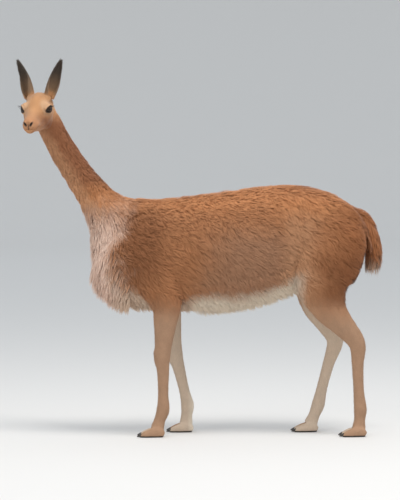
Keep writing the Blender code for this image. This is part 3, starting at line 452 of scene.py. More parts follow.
# The line of the mouth: points found on the skin, along the cheek and then round the front of the lips
LIP_BEND = 0.202
LIP_ROUND = 0.024
ALONG_CHEEK = 22
ROUND_LIPS = 14
GROOVE_RADIUS = 0.0018
path = []
for k in range(ALONG_CHEEK + ROUND_LIPS + 1):
    ahead = MOUTH_CORNER + (LIP_BEND - MOUTH_CORNER) * min(1.0, k / ALONG_CHEEK)
    bend = math.radians(90) * max(0.0, (k - ALONG_CHEEK) / ROUND_LIPS)
    toward = Vector((math.cos(bend), -math.sin(bend), 0))
    centre = Vector((0, -ahead, MOUTH_SLOPE * (ahead + LIP_ROUND * math.sin(bend)) - MOUTH_DROP))
    path.append(head.ray_cast(centre + toward * 0.06, -toward)[1])
path += [Vector((-p.x, p.y, p.z)) for p in reversed(path[:-1])]
bpy.ops.object.select_all(action="DESELECT")
bpy.ops.curve.primitive_bezier_curve_add()
groove = bpy.context.object
groove.data.splines.clear()
line = groove.data.splines.new("POLY")
line.points.add(len(path) - 1)
for k, (point, place) in enumerate(zip(line.points, path)):
    point.co = (*place, 1)
    point.radius = min(1.0, 0.35 + 0.65 * min(k, len(path) - 1 - k) / 8)
groove.data.bevel_depth = GROOVE_RADIUS
groove.data.bevel_resolution = 3
groove.data.use_fill_caps = True
bpy.ops.object.convert(target="MESH")
groove = bpy.context.object
all_over(bpy.ops.mesh.remove_doubles, threshold=0.00001)
all_over(bpy.ops.mesh.normals_make_consistent, inside=False)
cut(head, groove)
# The cleft of the upper lip, and the two slits of the nostrils, which lean out at the top
LIP_CLEFT = ((0, -0.2290, -0.0028), (0.0015, 0.0080, 0.0088))
NOSTRIL_RADII = (0.0024, 0.0120, 0.0074)
NOSTRIL_TIP = math.radians(10)
NOSTRIL_INWARD = math.radians(28)
cut(head, mass(*LIP_CLEFT))
nostrils = []
for side in (-1, 1):
    place = (side * NOSTRIL.x, NOSTRIL.y, NOSTRIL.z)
    nostrils.append(mass(place, NOSTRIL_RADII, (NOSTRIL_TIP, side * NOSTRIL_LEAN, side * NOSTRIL_INWARD)))
cut(head, joined("nostrils", nostrils))
sockets = []
for side in (-1, 1):
    turn = eye_frame(side)
    sockets.append(mass(turn.translation, (EYE_RADIUS + 0.0002,) * 3, turn.to_euler(), 64))
cut(head, joined("sockets", sockets))
openings = []
for side in (-1, 1):
    bpy.ops.object.select_all(action="DESELECT")
    bpy.ops.mesh.primitive_cylinder_add(vertices=64, radius=1, depth=EYE_RADIUS * 1.6)
    opening = bpy.context.object
    for vertex in opening.data.vertices:
        wide, high = almond(math.atan2(vertex.co.y, vertex.co.x))
        flare = 1.06 if vertex.co.z > 0 else 0.96
        vertex.co = (wide * flare, high * flare, vertex.co.z + EYE_RADIUS * 1.25)
    opening.matrix_world = eye_frame(side)
    openings.append(opening)
cut(head, joined("openings", openings))


def lid_folds(places):
    """A fold above and below each eye, and the fuller lids between the folds and the opening."""
    moved = np.zeros(len(places))
    for side in (-1, 1):
        into_eye = np.array(eye_frame(side).inverted())
        seen = places @ into_eye[:3, :3].T + into_eye[:3, 3]
        away = np.linalg.norm(seen, axis=1)
        near = (seen[:, 2] > 0) & (away > EYE_RADIUS + 0.0012) & (away < EYE_RADIUS + 0.012)
        high = seen[:, 1] / EYE_OPENING[1]
        ring = np.hypot(seen[:, 0] / EYE_OPENING[0], high)
        above = np.clip((high + 0.10) / 0.5, 0, 1)
        below = np.clip((-high - 0.10) / 0.5, 0, 1)
        for share, at, wide, amount in ((above, 1.26, 0.14, 0.0007), (above, 1.50, 0.11, -0.0016),
                                        (below, 1.32, 0.16, 0.0006), (below, 1.62, 0.12, -0.0010)):
            moved += share * near * amount * np.exp(-((ring - at) / wide) ** 2)
    return moved


swell(head, lid_folds)


# Ears: long thin cups of gristle under short hair, rolled almost shut at the root, open to the front
# above it and drawn to a point that turns in.
EAR_LENGTH = 0.142
EAR_ROOT = (0.030, 0.0330, 0.0360)
EAR_OUTWARD = math.radians(23)
EAR_RADIUS = 0.0232
EAR_THICK = 0.0030


def ear_frame(side):
    """An ear's root, its long axis, the way that its cup opens, and across, on the turned head."""
    root = POLL + forward * EAR_ROOT[0] + leftward * side * EAR_ROOT[1] + upward * EAR_ROOT[2]
    level_left = Vector((leftward.x, leftward.y, 0)).normalized()
    level_forward = Vector((forward.x, forward.y, 0)).normalized()
    axis = Vector((0, 0, 1)) * math.cos(EAR_OUTWARD) + level_left * side * math.sin(EAR_OUTWARD)
    opens = (level_forward * 0.86 + level_left * side * 0.50).normalized()
    opens = (opens - axis * opens.dot(axis)).normalized()
    return root, axis, opens, axis.cross(opens), level_left


def ear_place(side, t, share):
    """A point on the middle of the ear's wall: t runs from root to tip, and share from edge to edge."""
    root, axis, opens, across, level_left = ear_frame(side)
    radius = EAR_RADIUS * (0.72 + 1.05 * t - 1.60 * t * t) - 0.0006
    radius = max(radius, 0.0040 - 0.0016 * t)
    spread = math.radians(155 - 75 * min(1.0, t * 1.7))
    angle = spread * (2 * share - 1)
    curl = -side * 0.010 * t * t
    centre = root + axis * (EAR_LENGTH * t) + level_left * curl - opens * 0.006 * math.sin(math.pi * t)
    return centre + across * math.sin(angle) * radius - opens * math.cos(angle) * radius


ears = []
for side in (-1, 1):
    bpy.ops.object.select_all(action="DESELECT")
    bpy.ops.mesh.primitive_grid_add(x_subdivisions=18, y_subdivisions=30, size=1)
    ear = bpy.context.object
    for vertex in ear.data.vertices:
        vertex.co = ear_place(side, min(0.997, vertex.co.y + 0.5), vertex.co.x + 0.5)
    finish_with(ear, "SOLIDIFY", thickness=EAR_THICK, offset=0, use_even_offset=False)
    finish_with(ear, "SUBSURF", levels=1, render_levels=1)
    all_over(bpy.ops.mesh.normals_make_consistent, inside=False)
    ears.append(ear)


# Skin: the hides of the body, head and ears sewn into one, so that no seam shows. The coat grows on
# the separate hides, which are kept here as their triangles first, each with its own unwrap.
UNWRAP_ANGLE = math.radians(66)
UNWRAP_GAP = 0.004
pick(head)
head.matrix_world = head_set
bpy.ops.object.transform_apply(location=True, rotation=True, scale=True)
for piece in (hide, head, *ears):
    piece.data.transform(Matrix.Translation(STAND))
    pick(piece)
    all_over(bpy.ops.uv.smart_project, angle_limit=UNWRAP_ANGLE, island_margin=UNWRAP_GAP)


def unit(vectors):
    """Vectors in rows, each made one long."""
    return vectors / (np.linalg.norm(vectors, axis=-1, keepdims=True) + 1e-12)


def laid(vectors, outs):
    """Vectors laid flat where each direction is out, and made one long."""
    return unit(vectors - outs * (vectors * outs).sum(1)[:, None])


def tree_of(places):
    """A tree that finds the nearest of some places."""
    tree = KDTree(len(places))
    for i, place in enumerate(places):
        tree.insert(place, i)
    tree.balance()
    return tree


class Ground:
    """The triangles of one hide: their corners, directions and place on the unwrap."""

    def __init__(self, piece):
        mesh = piece.data
        mesh.calc_loop_triangles()
        corners = rows_of(mesh.loop_triangles, "vertices", 3, np.int32)
        loops = rows_of(mesh.loop_triangles, "loops", 3, np.int32)
        self.places = rows_of(mesh.vertices, "co", 3)[corners] - np.array(STAND)
        self.outs = rows_of(mesh.vertices, "normal", 3)[corners]
        self.flat = rows_of(mesh.uv_layers.active.data, "uv", 2)[loops]
        sides = np.cross(self.places[:, 1] - self.places[:, 0], self.places[:, 2] - self.places[:, 0])
        self.areas = np.linalg.norm(sides, axis=1) / 2
        self.middles = self.places.mean(1)
        self.facings = unit(self.outs.mean(1))
        self.tree = tree_of(self.middles)

    def above(self, points):
        """How high each point stands over the hide, and which way is out there."""
        nearest = np.array([self.tree.find(point)[1] for point in points])
        facings = self.facings[nearest]
        return ((points - self.middles[nearest]) * facings).sum(1), facings

    def roots(self, count, seed, share):
        """Roots spread over the hide in proportion to share, which is given each triangle's middle."""
        draw = np.random.default_rng(seed)
        weights = self.areas * share(self.middles, self.outs.mean(1))
        reached = np.cumsum(weights)
        marks = (np.arange(count) + draw.random(count)) / count * reached[-1]
        chosen = np.clip(np.searchsorted(reached, marks), 0, len(weights) - 1)
        a = np.sqrt(draw.random(count))
        b = draw.random(count)
        parts = np.stack((1 - a, a * (1 - b), a * b), 1)[:, :, None]
        outs = unit((self.outs[chosen] * parts).sum(1))
        return (self.places[chosen] * parts).sum(1), outs, (self.flat[chosen] * parts).sum(1)


names = ("hide", "head", "ear_right", "ear_left")
grounds = {name: Ground(piece) for name, piece in zip(names, (hide, head, *ears))}
for ear in ears:
    cut(head, ear, "UNION")
cut(hide, head, "UNION")
skin = hide
skin.name = "skin"
# The seam between the neck and the head is smoothed over, up to the cheeks and below the ears
NECK_TOP = Vector((0.0, -0.676, 1.096))
UP_NECK = Vector((0.10, -0.34, 0.93))
SEAM_REACH = (-0.03, 0.05)
BEHIND_CHEEKS = 0.035
BELOW_EARS = 1.19
SEAM_TURNS = 12
seam = bmesh.new()
seam.from_mesh(skin.data)
near_seam = []
for vertex in seam.verts:
    place = vertex.co - STAND
    past = (place - NECK_TOP).dot(UP_NECK)
    behind = (place - POLL).dot(forward) < BEHIND_CHEEKS
    if SEAM_REACH[0] < past < SEAM_REACH[1] and behind and place.z < BELOW_EARS:
        near_seam.append(vertex)
for turn in range(SEAM_TURNS):
    bmesh.ops.smooth_vert(seam, verts=near_seam, factor=0.5, use_axis_x=True, use_axis_y=True,
                          use_axis_z=True)
seam.to_mesh(skin.data)
seam.free()
pick(skin)
bpy.ops.object.shade_smooth()
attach(skin, "root")
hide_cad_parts(*[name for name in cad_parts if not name.startswith(("eye", "nail"))])


# Colours of the coat, the same on the hide and on the hair that grows from it: cinnamon, lighter along the
# top of the back and down the front of the neck as painted light, darker on the neck, shoulder and rump as
# painted shade, greyer on the flank and shanks, cream below, and dark ears.
FAWN = (0.430, 0.186, 0.080, 1)
# Lighter fawn for the top of the back: painted light from above.
LIT_BACK = (0.680, 0.300, 0.120, 1)
# Dark brown for the shoulder and the haunch: painted shade.
SHADED_RUST = (0.215, 0.078, 0.030, 1)
# Darker brown for the rump: painted shade.
SHADED_RUMP = (0.310, 0.110, 0.038, 1)
# Darker brown for the neck: painted shade.
SHADED_NECK = (0.195, 0.068, 0.034, 1)
ASH = (0.370, 0.212, 0.132, 1)
HIP = (0.600, 0.330, 0.180, 1)
SHANK = (0.450, 0.290, 0.190, 1)
# Lighter tan for the front of the neck: painted light.
LIT_THROAT = (0.600, 0.310, 0.160, 1)
BIB = (0.760, 0.550, 0.440, 1)
CREAM = (0.780, 0.680, 0.550, 1)
FACE = (0.560, 0.300, 0.140, 1)
SOOT = (0.060, 0.046, 0.040, 1)
EAR = (0.070, 0.056, 0.047, 1)
EAR_ROOT_HAIR = (0.240, 0.150, 0.088, 1)
MUZZLE = (0.300, 0.175, 0.100, 1)
PAD = (0.050, 0.042, 0.038, 1)


class Tone:
    """A value in a material. Sums on it add Math nodes, and node() adds any other node."""

    def __init__(self, tree, socket=None):
        self.tree = tree
        self.socket = socket

    def node(self, kind, settings, sockets, out=0):
        made = self.tree.nodes.new(kind)
        for name, value in settings.items():
            setattr(made, name, value)
        for name, value in sockets.items():
            if isinstance(value, Tone):
                self.tree.links.new(value.socket, made.inputs[name])
            else:
                made.inputs[name].default_value = value
        return Tone(self.tree, made.outputs[out])

    def maths(self, operation, *values):
        return self.node("ShaderNodeMath", {"operation": operation}, dict(enumerate(values)))

    def __add__(self, other):
        return self.maths("ADD", self, other)

    def __sub__(self, other):
        return self.maths("SUBTRACT", self, other)

    def __mul__(self, other):
        return self.maths("MULTIPLY", self, other)

    __radd__ = __add__

    def kept(self, name):
        """What each point of the mesh keeps under a name."""
        return self.node("ShaderNodeAttribute", {"attribute_name": name}, {}, "Vector")

    def here(self):
        """The place on the piece."""
        return self.node("ShaderNodeTexCoord", {}, {}, "Object")

    def step(self, low, high):
        """0 at low and 1 at high, with a soft step between them."""
        return self.node("ShaderNodeMapRange", {"interpolation_type": "SMOOTHSTEP"},
                         {"Value": self, "From Min": low, "From Max": high})

    def over(self, colour, share):
        """This colour with another laid over it in part."""
        return self.node("ShaderNodeMix", {"data_type": "RGBA"}, {0: share, 6: self, 7: colour}, 2)

    def blend(self, low, high):
        """One colour where this value is 0, and another where it is 1."""
        return self.node("ShaderNodeMix", {"data_type": "RGBA"}, {0: self, 6: low, 7: high}, 2)

    def size(self):
        """This value without its sign."""
        return self.maths("ABSOLUTE", self)

    def past(self, point):
        """This place measured from a point."""
        return self.node("ShaderNodeVectorMath", {"operation": "SUBTRACT"}, {0: self, 1: point})

    def bumped(self, strength, distance):
        """The way that the surface faces with this height laid on it."""
        return self.node("ShaderNodeBump", {}, {"Strength": strength, "Distance": distance, "Height": self})

    def times(self, factor):
        """This colour made lighter or darker."""
        return self.node("ShaderNodeVectorMath", {"operation": "SCALE"}, {0: self, "Scale": factor})

    def along(self, direction):
        """How far this place lies along a direction."""
        return self.node("ShaderNodeVectorMath", {"operation": "DOT_PRODUCT"}, {0: self, 1: direction}, 1)

    def noise(self, scale, detail):
        """Soft noise at this place, from -0.5 to 0.5."""
        found = self.node("ShaderNodeTexNoise", {}, {"Vector": self, "Scale": scale, "Detail": detail})
        return found - 0.5


def markings(place):
    """The coat's colour at a place on the hide, and the fine grain of it."""
    body = place.past(STAND)
    x = body.along((1, 0, 0)).size()
    y = body.along((0, 1, 0))
    z = body.along((0, 0, 1))
    drift = body.noise(6.0, 2.0)
    grain = body.noise(48.0, 3.0)
    low = z + drift * 0.07 + grain * 0.03
    # Fawn, lighter along the top of the back: painted light from above.
    colour = (z + drift * 0.1).step(0.76, 0.88).blend(FAWN, LIT_BACK)
    flank = (y + drift * 0.2).step(-0.20, -0.05) * y.step(0.24, 0.08) * low.step(0.78, 0.66)
    colour = colour.over(ASH, flank * 0.60)
    hip = (y + drift * 0.08).step(0.10, 0.17) * (y + drift * 0.08).step(0.29, 0.21) * low.step(0.84, 0.74)
    colour = colour.over(HIP, hip * 0.50)
    # Darker on the shoulder behind the bib: painted shade.
    shoulder = (y + drift * 0.1).step(-0.46, -0.39) * y.step(-0.24, -0.34)
    colour = colour.over(SHADED_RUST, shoulder * low.step(0.50, 0.60) * low.step(0.84, 0.72) * 0.65)
    # Darker over the rear of the rump: painted shade on the hind quarters.
    rump = (y + drift * 0.1).step(0.26, 0.38) * low.step(0.44, 0.58) * low.step(0.88, 0.78)
    colour = colour.over(SHADED_RUMP, rump * 0.75)
    # Darker low on the haunch: painted shade on the hind quarters.
    haunch = (y + drift * 0.1).step(0.21, 0.30) * low.step(0.42, 0.50) * low.step(0.70, 0.60)
    colour = colour.over(SHADED_RUST, haunch * 0.55)
    # Darker from the withers' height up the neck: painted shade along the neck's side.
    colour = colour.over(SHADED_NECK, low.step(0.80, 0.93) * 0.78)
    # Lighter down the front of the neck: painted light on the side of the neck that faces the light.
    ahead = y + z * 0.652 - 0.048 + drift * 0.03
    colour = colour.over(LIT_THROAT, (ahead + grain * 0.03).step(-0.008, -0.046) * low.step(0.74, 0.84) * 0.72)
    belly = (low - y.step(0.00, 0.24) * 0.085).step(0.530, 0.480) * y.step(0.23, 0.17) * y.step(-0.22, -0.17)
    inner = (x + grain * 0.02).step(0.088, 0.064) * low.step(0.68, 0.60)
    colour = colour.over(SHANK, low.step(0.52, 0.38) * 0.80)
    colour = colour.over(CREAM, belly.maths("MAXIMUM", belly, inner * 0.60) * 0.92)
    chest = (y + drift * 0.10 + grain * 0.05).step(-0.380, -0.462) * (low + grain * 0.05).step(0.86, 0.71)
    chest = chest * (x + drift * 0.06 + grain * 0.03).step(0.100, 0.066)
    colour = colour.over(BIB, chest)
    face = body.past(POLL)
    f = face.along(forward)
    side = face.along(leftward).size()
    rise = face.along(upward)
    up = rise + grain * 0.008
    head_share = z.step(1.10, 1.15)
    colour = colour.over(FACE, head_share * 0.85)
    jaw = up.step(-0.016, -0.032) * f.step(0.045, 0.100) * head_share
    colour = colour.over(CREAM, jaw * 0.9)
    point = face.node("ShaderNodeCombineXYZ", {}, {0: side, 1: f, 2: rise})
    toward = point.past((EYE_AT.x, -EYE_AT.y, EYE_AT.z))
    eye = toward.node("ShaderNodeVectorMath", {"operation": "LENGTH"}, {0: toward}, 1)
    colour = colour.over(CREAM, (eye + grain * 0.006).step(0.038, 0.026) * head_share * 0.16)
    colour = colour.over(MUZZLE, f.step(0.150, 0.205) * up.step(-0.016, -0.004) * head_share * 0.55)
    colour = colour.over(SOOT, f.step(0.205, 0.219) * up.step(-0.012, -0.002) * head_share * 0.55)
    colour = colour.over(CREAM, f.step(0.160, 0.195) * up.step(-0.006, -0.013) * head_share * 0.75)
    lid = eye_frame(1).to_3x3()
    lid_x = toward.along((lid[0][0], -lid[1][0], lid[2][0])) * (1 / EYE_OPENING[0])
    lid_y = toward.along((lid[0][1], -lid[1][1], lid[2][1])) * (1 / EYE_OPENING[1])
    lid_out = toward.along((lid[0][2], -lid[1][2], lid[2][2]))
    lid_edge = (lid_x * lid_x + lid_y * lid_y).step(1.55, 1.20) * lid_out.step(0.0, 0.006)
    colour = colour.over(SOOT, lid_edge * eye.step(0.030, 0.026) * 0.9)
    ear = rise * 0.92 + side * 0.39 - 0.046
    colour = colour.over(EAR_ROOT_HAIR, (ear + grain * 0.012).step(0.004, 0.022) * head_share)
    colour = colour.over(EAR, (ear + grain * 0.02).step(0.020, 0.085) * head_share * 0.88)
    lips = (rise - f * MOUTH_SLOPE + MOUTH_DROP).size()
    mouth = lips.step(0.0030, 0.0014) * f.step(MOUTH_CORNER - 0.002, MOUTH_CORNER + 0.006)
    colour = colour.over(SOOT, mouth * head_share * 0.9)
    cleft = side.step(0.0030, 0.0012) * f.step(0.214, 0.219) * rise.step(0.008, 0.004)
    colour = colour.over(SOOT, cleft * rise.maths("GREATER_THAN", rise, -0.014) * 0.85)
    nose = point.past((NOSTRIL.x, -NOSTRIL.y, NOSTRIL.z))
    slit = nose.along((math.sin(NOSTRIL_LEAN), 0, math.cos(NOSTRIL_LEAN))) * 110.0
    beside = nose.along((math.cos(NOSTRIL_LEAN), 0, -math.sin(NOSTRIL_LEAN))) * 240.0
    colour = colour.over(SOOT, (slit * slit + beside * beside).step(1.5, 0.5) * f.step(0.208, 0.213) * 0.92)
    return colour.over(PAD, (z + grain * 0.002).step(0.0075, 0.0035)), grain


def shader(name, looks):
    """A new material with its plain looks set, its main shader and a value to build on."""
    made = bpy.data.materials.new(name)
    made.use_nodes = True
    base = made.node_tree.nodes["Principled BSDF"]
    for socket, value in looks.items():
        base.inputs[socket].default_value = value
    return made, base, Tone(made.node_tree)


def feed(base, socket, tone):
    """Links a value to a socket of the main shader."""
    tone.tree.links.new(tone.socket, base.inputs[socket])


leather, base, tone = shader("hide under the hair", {"Roughness": 0.82, "Specular IOR Level": 0.25})
place = tone.here()
colour, grain = markings(place)
pores = place.noise(420.0, 4.0)
feed(base, "Base Color", colour.times(0.92 + grain * 0.25 + pores * 0.25))
feed(base, "Normal", pores.bumped(0.5, 0.0012))
skin.data.materials.clear()
skin.data.materials.append(leather)

wool, base, tone = shader("hair", {
    "Roughness": 0.72, "Specular IOR Level": 0.22, "Sheen Weight": 0.18, "Sheen Roughness": 0.45})
comb = tone.kept("comb")
colour, grain = markings(tone.kept("root"))
length_share = comb.along((0, 1, 0))
chance = comb.along((0, 0, 1))
drawn_out = comb.node("ShaderNodeVectorMath", {"operation": "MULTIPLY"}, {0: comb, 1: (9.0, 1.6, 60.0)})
streak = drawn_out.noise(1.0, 2.0)
# Darker at each tuft's root than at its tip: painted shade where the tufts cover each other. Chance, streak
# and grain add tone that differs at random.
root_shade_and_tone = 0.84 + length_share * 0.18 + chance * 0.12 + streak * 0.18 + grain * 0.28
feed(base, "Base Color", colour.times(root_shade_and_tone))
feed(base, "Normal", streak.bumped(0.35, 0.0006))


# Eyes: large dark glass balls set deep in the lids, with a brown iris, a level pupil and a clear
# bulging front. Each rides in its socket behind a dark moist rim and a row of long lashes.
IRIS_BROWN = (0.050, 0.024, 0.011, 1)
IRIS_DARK = (0.014, 0.008, 0.005, 1)
PUPIL = (0.004, 0.003, 0.004, 1)
EYE_WHITE_IN_SHADE = (0.016, 0.011, 0.009, 1)
BULGE = 0.0020
BULGE_REACH = 0.78
glass, base, tone = shader("eye glass", {
    "Roughness": 0.09, "Specular IOR Level": 0.24, "Coat Weight": 0.20, "Coat Roughness": 0.02})
gaze = tone.kept("gaze")
gx = gaze.along((1, 0, 0))
gy = gaze.along((0, 1, 0))
reach = gaze.maths("SQRT", gx * gx + gy * gy)
wide = gx * 0.62
pupil = gaze.maths("SQRT", wide * wide + gy * gy * 3.2)
rays = gaze.noise(9.0, 4.0)
iris = reach.step(0.30, 0.72).blend(IRIS_BROWN, IRIS_DARK).times(1.0 + rays * 1.2)
iris = iris.over(PUPIL, (pupil + rays * 0.05).step(0.36, 0.30))
feed(base, "Base Color", iris.over(EYE_WHITE_IN_SHADE, reach.step(0.70, 0.86)))
for side, word in ((-1, "right"), (1, "left")):
    bpy.ops.object.select_all(action="DESELECT")
    bpy.ops.mesh.primitive_uv_sphere_add(segments=48, ring_count=32, radius=EYE_RADIUS - 0.0002)
    ball = bpy.context.object
    gaze_at = ball.data.attributes.new("gaze", "FLOAT_VECTOR", "POINT")
    for i, vertex in enumerate(ball.data.vertices):
        out = vertex.co / EYE_RADIUS
        gaze_at.data[i].vector = out
        spread = math.hypot(out.x, out.y)
        if out.z > 0 and spread < BULGE_REACH:
            vertex.co.z += BULGE * (1 - (spread / BULGE_REACH) ** 2) ** 2
    ball.data.transform(Matrix.Translation(STAND) @ head_set @ eye_frame(side))
    ball.name = "eyeball_" + word
    bpy.ops.object.shade_smooth()
    ball.data.materials.append(glass)
    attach(ball, "root")
    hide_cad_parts("eye_" + word)


# Rims of the lids: a thin roll of bare, dark, moist skin round each opening, lying on the eye's glass.
RIM_THICK = 0.013
RIM_OFF_GLASS = 0.0010
RIM_DARK = (0.020, 0.015, 0.013, 1)
RIM_PALE = (0.045, 0.032, 0.026, 1)
rim_skin, base, tone = shader("dark lid rim", {"Roughness": 0.38})
pores = tone.here().noise(900.0, 3.0)
feed(base, "Base Color", (pores + 0.5).blend(RIM_DARK, RIM_PALE))
feed(base, "Normal", pores.bumped(0.4, 0.0005))
for side, word in ((-1, "right"), (1, "left")):
    bpy.ops.object.select_all(action="DESELECT")
    bpy.ops.mesh.primitive_torus_add(major_segments=72, minor_segments=10, major_radius=1, minor_radius=0.07)
    rim = bpy.context.object
    for vertex in rim.data.vertices:
        wide, high = almond(math.atan2(vertex.co.y, vertex.co.x))
        grow = (math.hypot(vertex.co.x, vertex.co.y) - 1) * RIM_THICK
        wide *= 1 + grow / EYE_OPENING[0]
        high *= 1 + grow / EYE_OPENING[1]
        ball_z = math.sqrt(max(0.0, EYE_RADIUS**2 - wide**2 - high**2))
        vertex.co = (wide, high, ball_z + RIM_OFF_GLASS + vertex.co.z * RIM_THICK)
    rim.data.transform(Matrix.Translation(STAND) @ head_set @ eye_frame(side))
    rim.name = "lid_rim_" + word
    bpy.ops.object.shade_smooth()
    rim.data.materials.append(rim_skin)
    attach(rim, "root")


# Nails: two blunt, slightly hooked nails of dark horn on each foot, one on the top of each toe's end,
# with growth rings across them and worn paler tips.
NAIL_LENGTH = 0.027
NAIL_HALF = 0.0064
NAIL_BACK = 0.016
NAIL_OFF_FLOOR = 0.0008
# Along a nail from root to tip: share of its length, of its width and of its height
NAIL_SHAPE = (
    (0.0, 0.78, 0.86), (0.12, 0.95, 1.0), (0.35, 1.0, 1.0), (0.62, 0.80, 0.76), (0.86, 0.50, 0.42),
    (1.0, 0.16, 0.14),
)
HORN_DARK = (0.022, 0.018, 0.015, 1)
HORN_WORN = (0.075, 0.060, 0.048, 1)
horn, base, tone = shader("dark horn", {"Roughness": 0.42})
place = tone.here()
rings = place.node("ShaderNodeTexWave", {"bands_direction": "Y"}, {
    "Vector": place, "Scale": 110.0, "Distortion": 2.5, "Detail": 2.0, "Detail Scale": 3.0}, 1)
worn = place.noise(160.0, 4.0)
feed(base, "Base Color", worn.step(-0.2, 0.3).blend(HORN_DARK, HORN_WORN).times(0.8 + rings * 0.4))
feed(base, "Normal", (rings * 0.6 + worn * 0.5).bumped(0.5, 0.0005))
for name, ankle in ankles.items():
    for toe, word in ((-1, "right"), (1, "left")):
        start = ankle[1] - TOE[-1][0] + NAIL_BACK
        beside = ankle[0] + toe * (TOE_APART + TOE_SPLAY)
        rows = []
        for t, wide, high in NAIL_SHAPE:
            drop = 0.0102 - 0.0068 * t**1.3
            half_high = min(NAIL_HALF * high, drop - NAIL_OFF_FLOOR)
            rows.append((beside, start - t * NAIL_LENGTH, drop, NAIL_HALF * wide, half_high))
        nail = tube(between(rows, 3), 20)
        nail.data.transform(Matrix.Translation(STAND))
        nail.name = f"horn_{name}_{word}"
        bpy.ops.object.shade_smooth_by_angle(angle=math.radians(50))
        nail.data.materials.append(horn)
        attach(nail, "root")
        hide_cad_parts(f"nail_{name}_{word}")


# Wool of the body: a soft dense fleece in overlapping tufts that follow the hide back and down, with
# a shorter, finer down between them. It ends in the short hair of the shanks and the locks of the tail.
def fade(value, low, high):
    """0 at low and 1 at high, with a soft step between them."""
    share = np.clip((value - low) / (high - low), 0, 1)
    return share * share * (3 - 2 * share)


def woolly(places):
    """1 on the wool and 0 on the short hair of the shanks."""
    along = places[:, 1]
    low = np.interp(along, (-0.16, -0.10, 0.12, 0.19), (0.43, 0.36, 0.36, 0.45))
    high = np.interp(along, (-0.16, -0.10, 0.12, 0.19), (0.53, 0.42, 0.42, 0.58))
    return fade(places[:, 2], low, high)


def headward(places):
    """0 on the neck and 1 on the head."""
    past = (places - np.array(NECK_TOP)) @ np.array(UP_NECK)
    return fade(past, -0.02, 0.03)


def ripple(places, length, seed):
    """Soft waves over the coat, about a length apart, from -1 to 1."""
    draw = np.random.default_rng(seed)
    ways = unit(draw.normal(size=(9, 3))) * 2 * math.pi / length
    return np.sin(places @ ways.T + draw.uniform(0, 2 * math.pi, 9)).sum(1) / 4


def lie_of(places, outs):
    """The way that the coat lies: back and down the body, down the neck and legs, back over the head."""
    up_neck = (places - np.array((0.0, -0.40, 0.76))) @ np.array((0.0, -0.58, 0.81))
    neck = fade(up_neck, -0.05, 0.08)[:, None]
    wool = woolly(places)[:, None]
    head = headward(places)[:, None]
    lie = np.array((0.0, 0.80, -0.60)) * (1 - neck) + np.array((0.0, 0.50, -0.86)) * neck
    lie = lie * wool + np.array((0.0, 0.16, -0.99)) * (1 - wool)
    behind = fade(-outs @ np.array(forward), 0.10, 0.80)[:, None]
    over_head = -np.array(forward) * (1 - 0.85 * behind) + np.array((0, 0, -1.0)) * (0.30 + 0.90 * behind)
    lie = laid(lie * (1 - head) + over_head * head, outs)
    x, y, z = places.T
    sway = 0.16 * np.sin(17 * y + 9 * z + 3 * x) + 0.12 * np.sin(31 * z - 13 * y + 1.0)
    sway += 0.22 * ripple(places, 0.075, 1) + 0.12 * ripple(places, 0.030, 2)
    sway = (sway * wool[:, 0] * (1 - head[:, 0]))[:, None]
    return lie * np.cos(sway) + np.cross(outs, lie) * np.sin(sway)


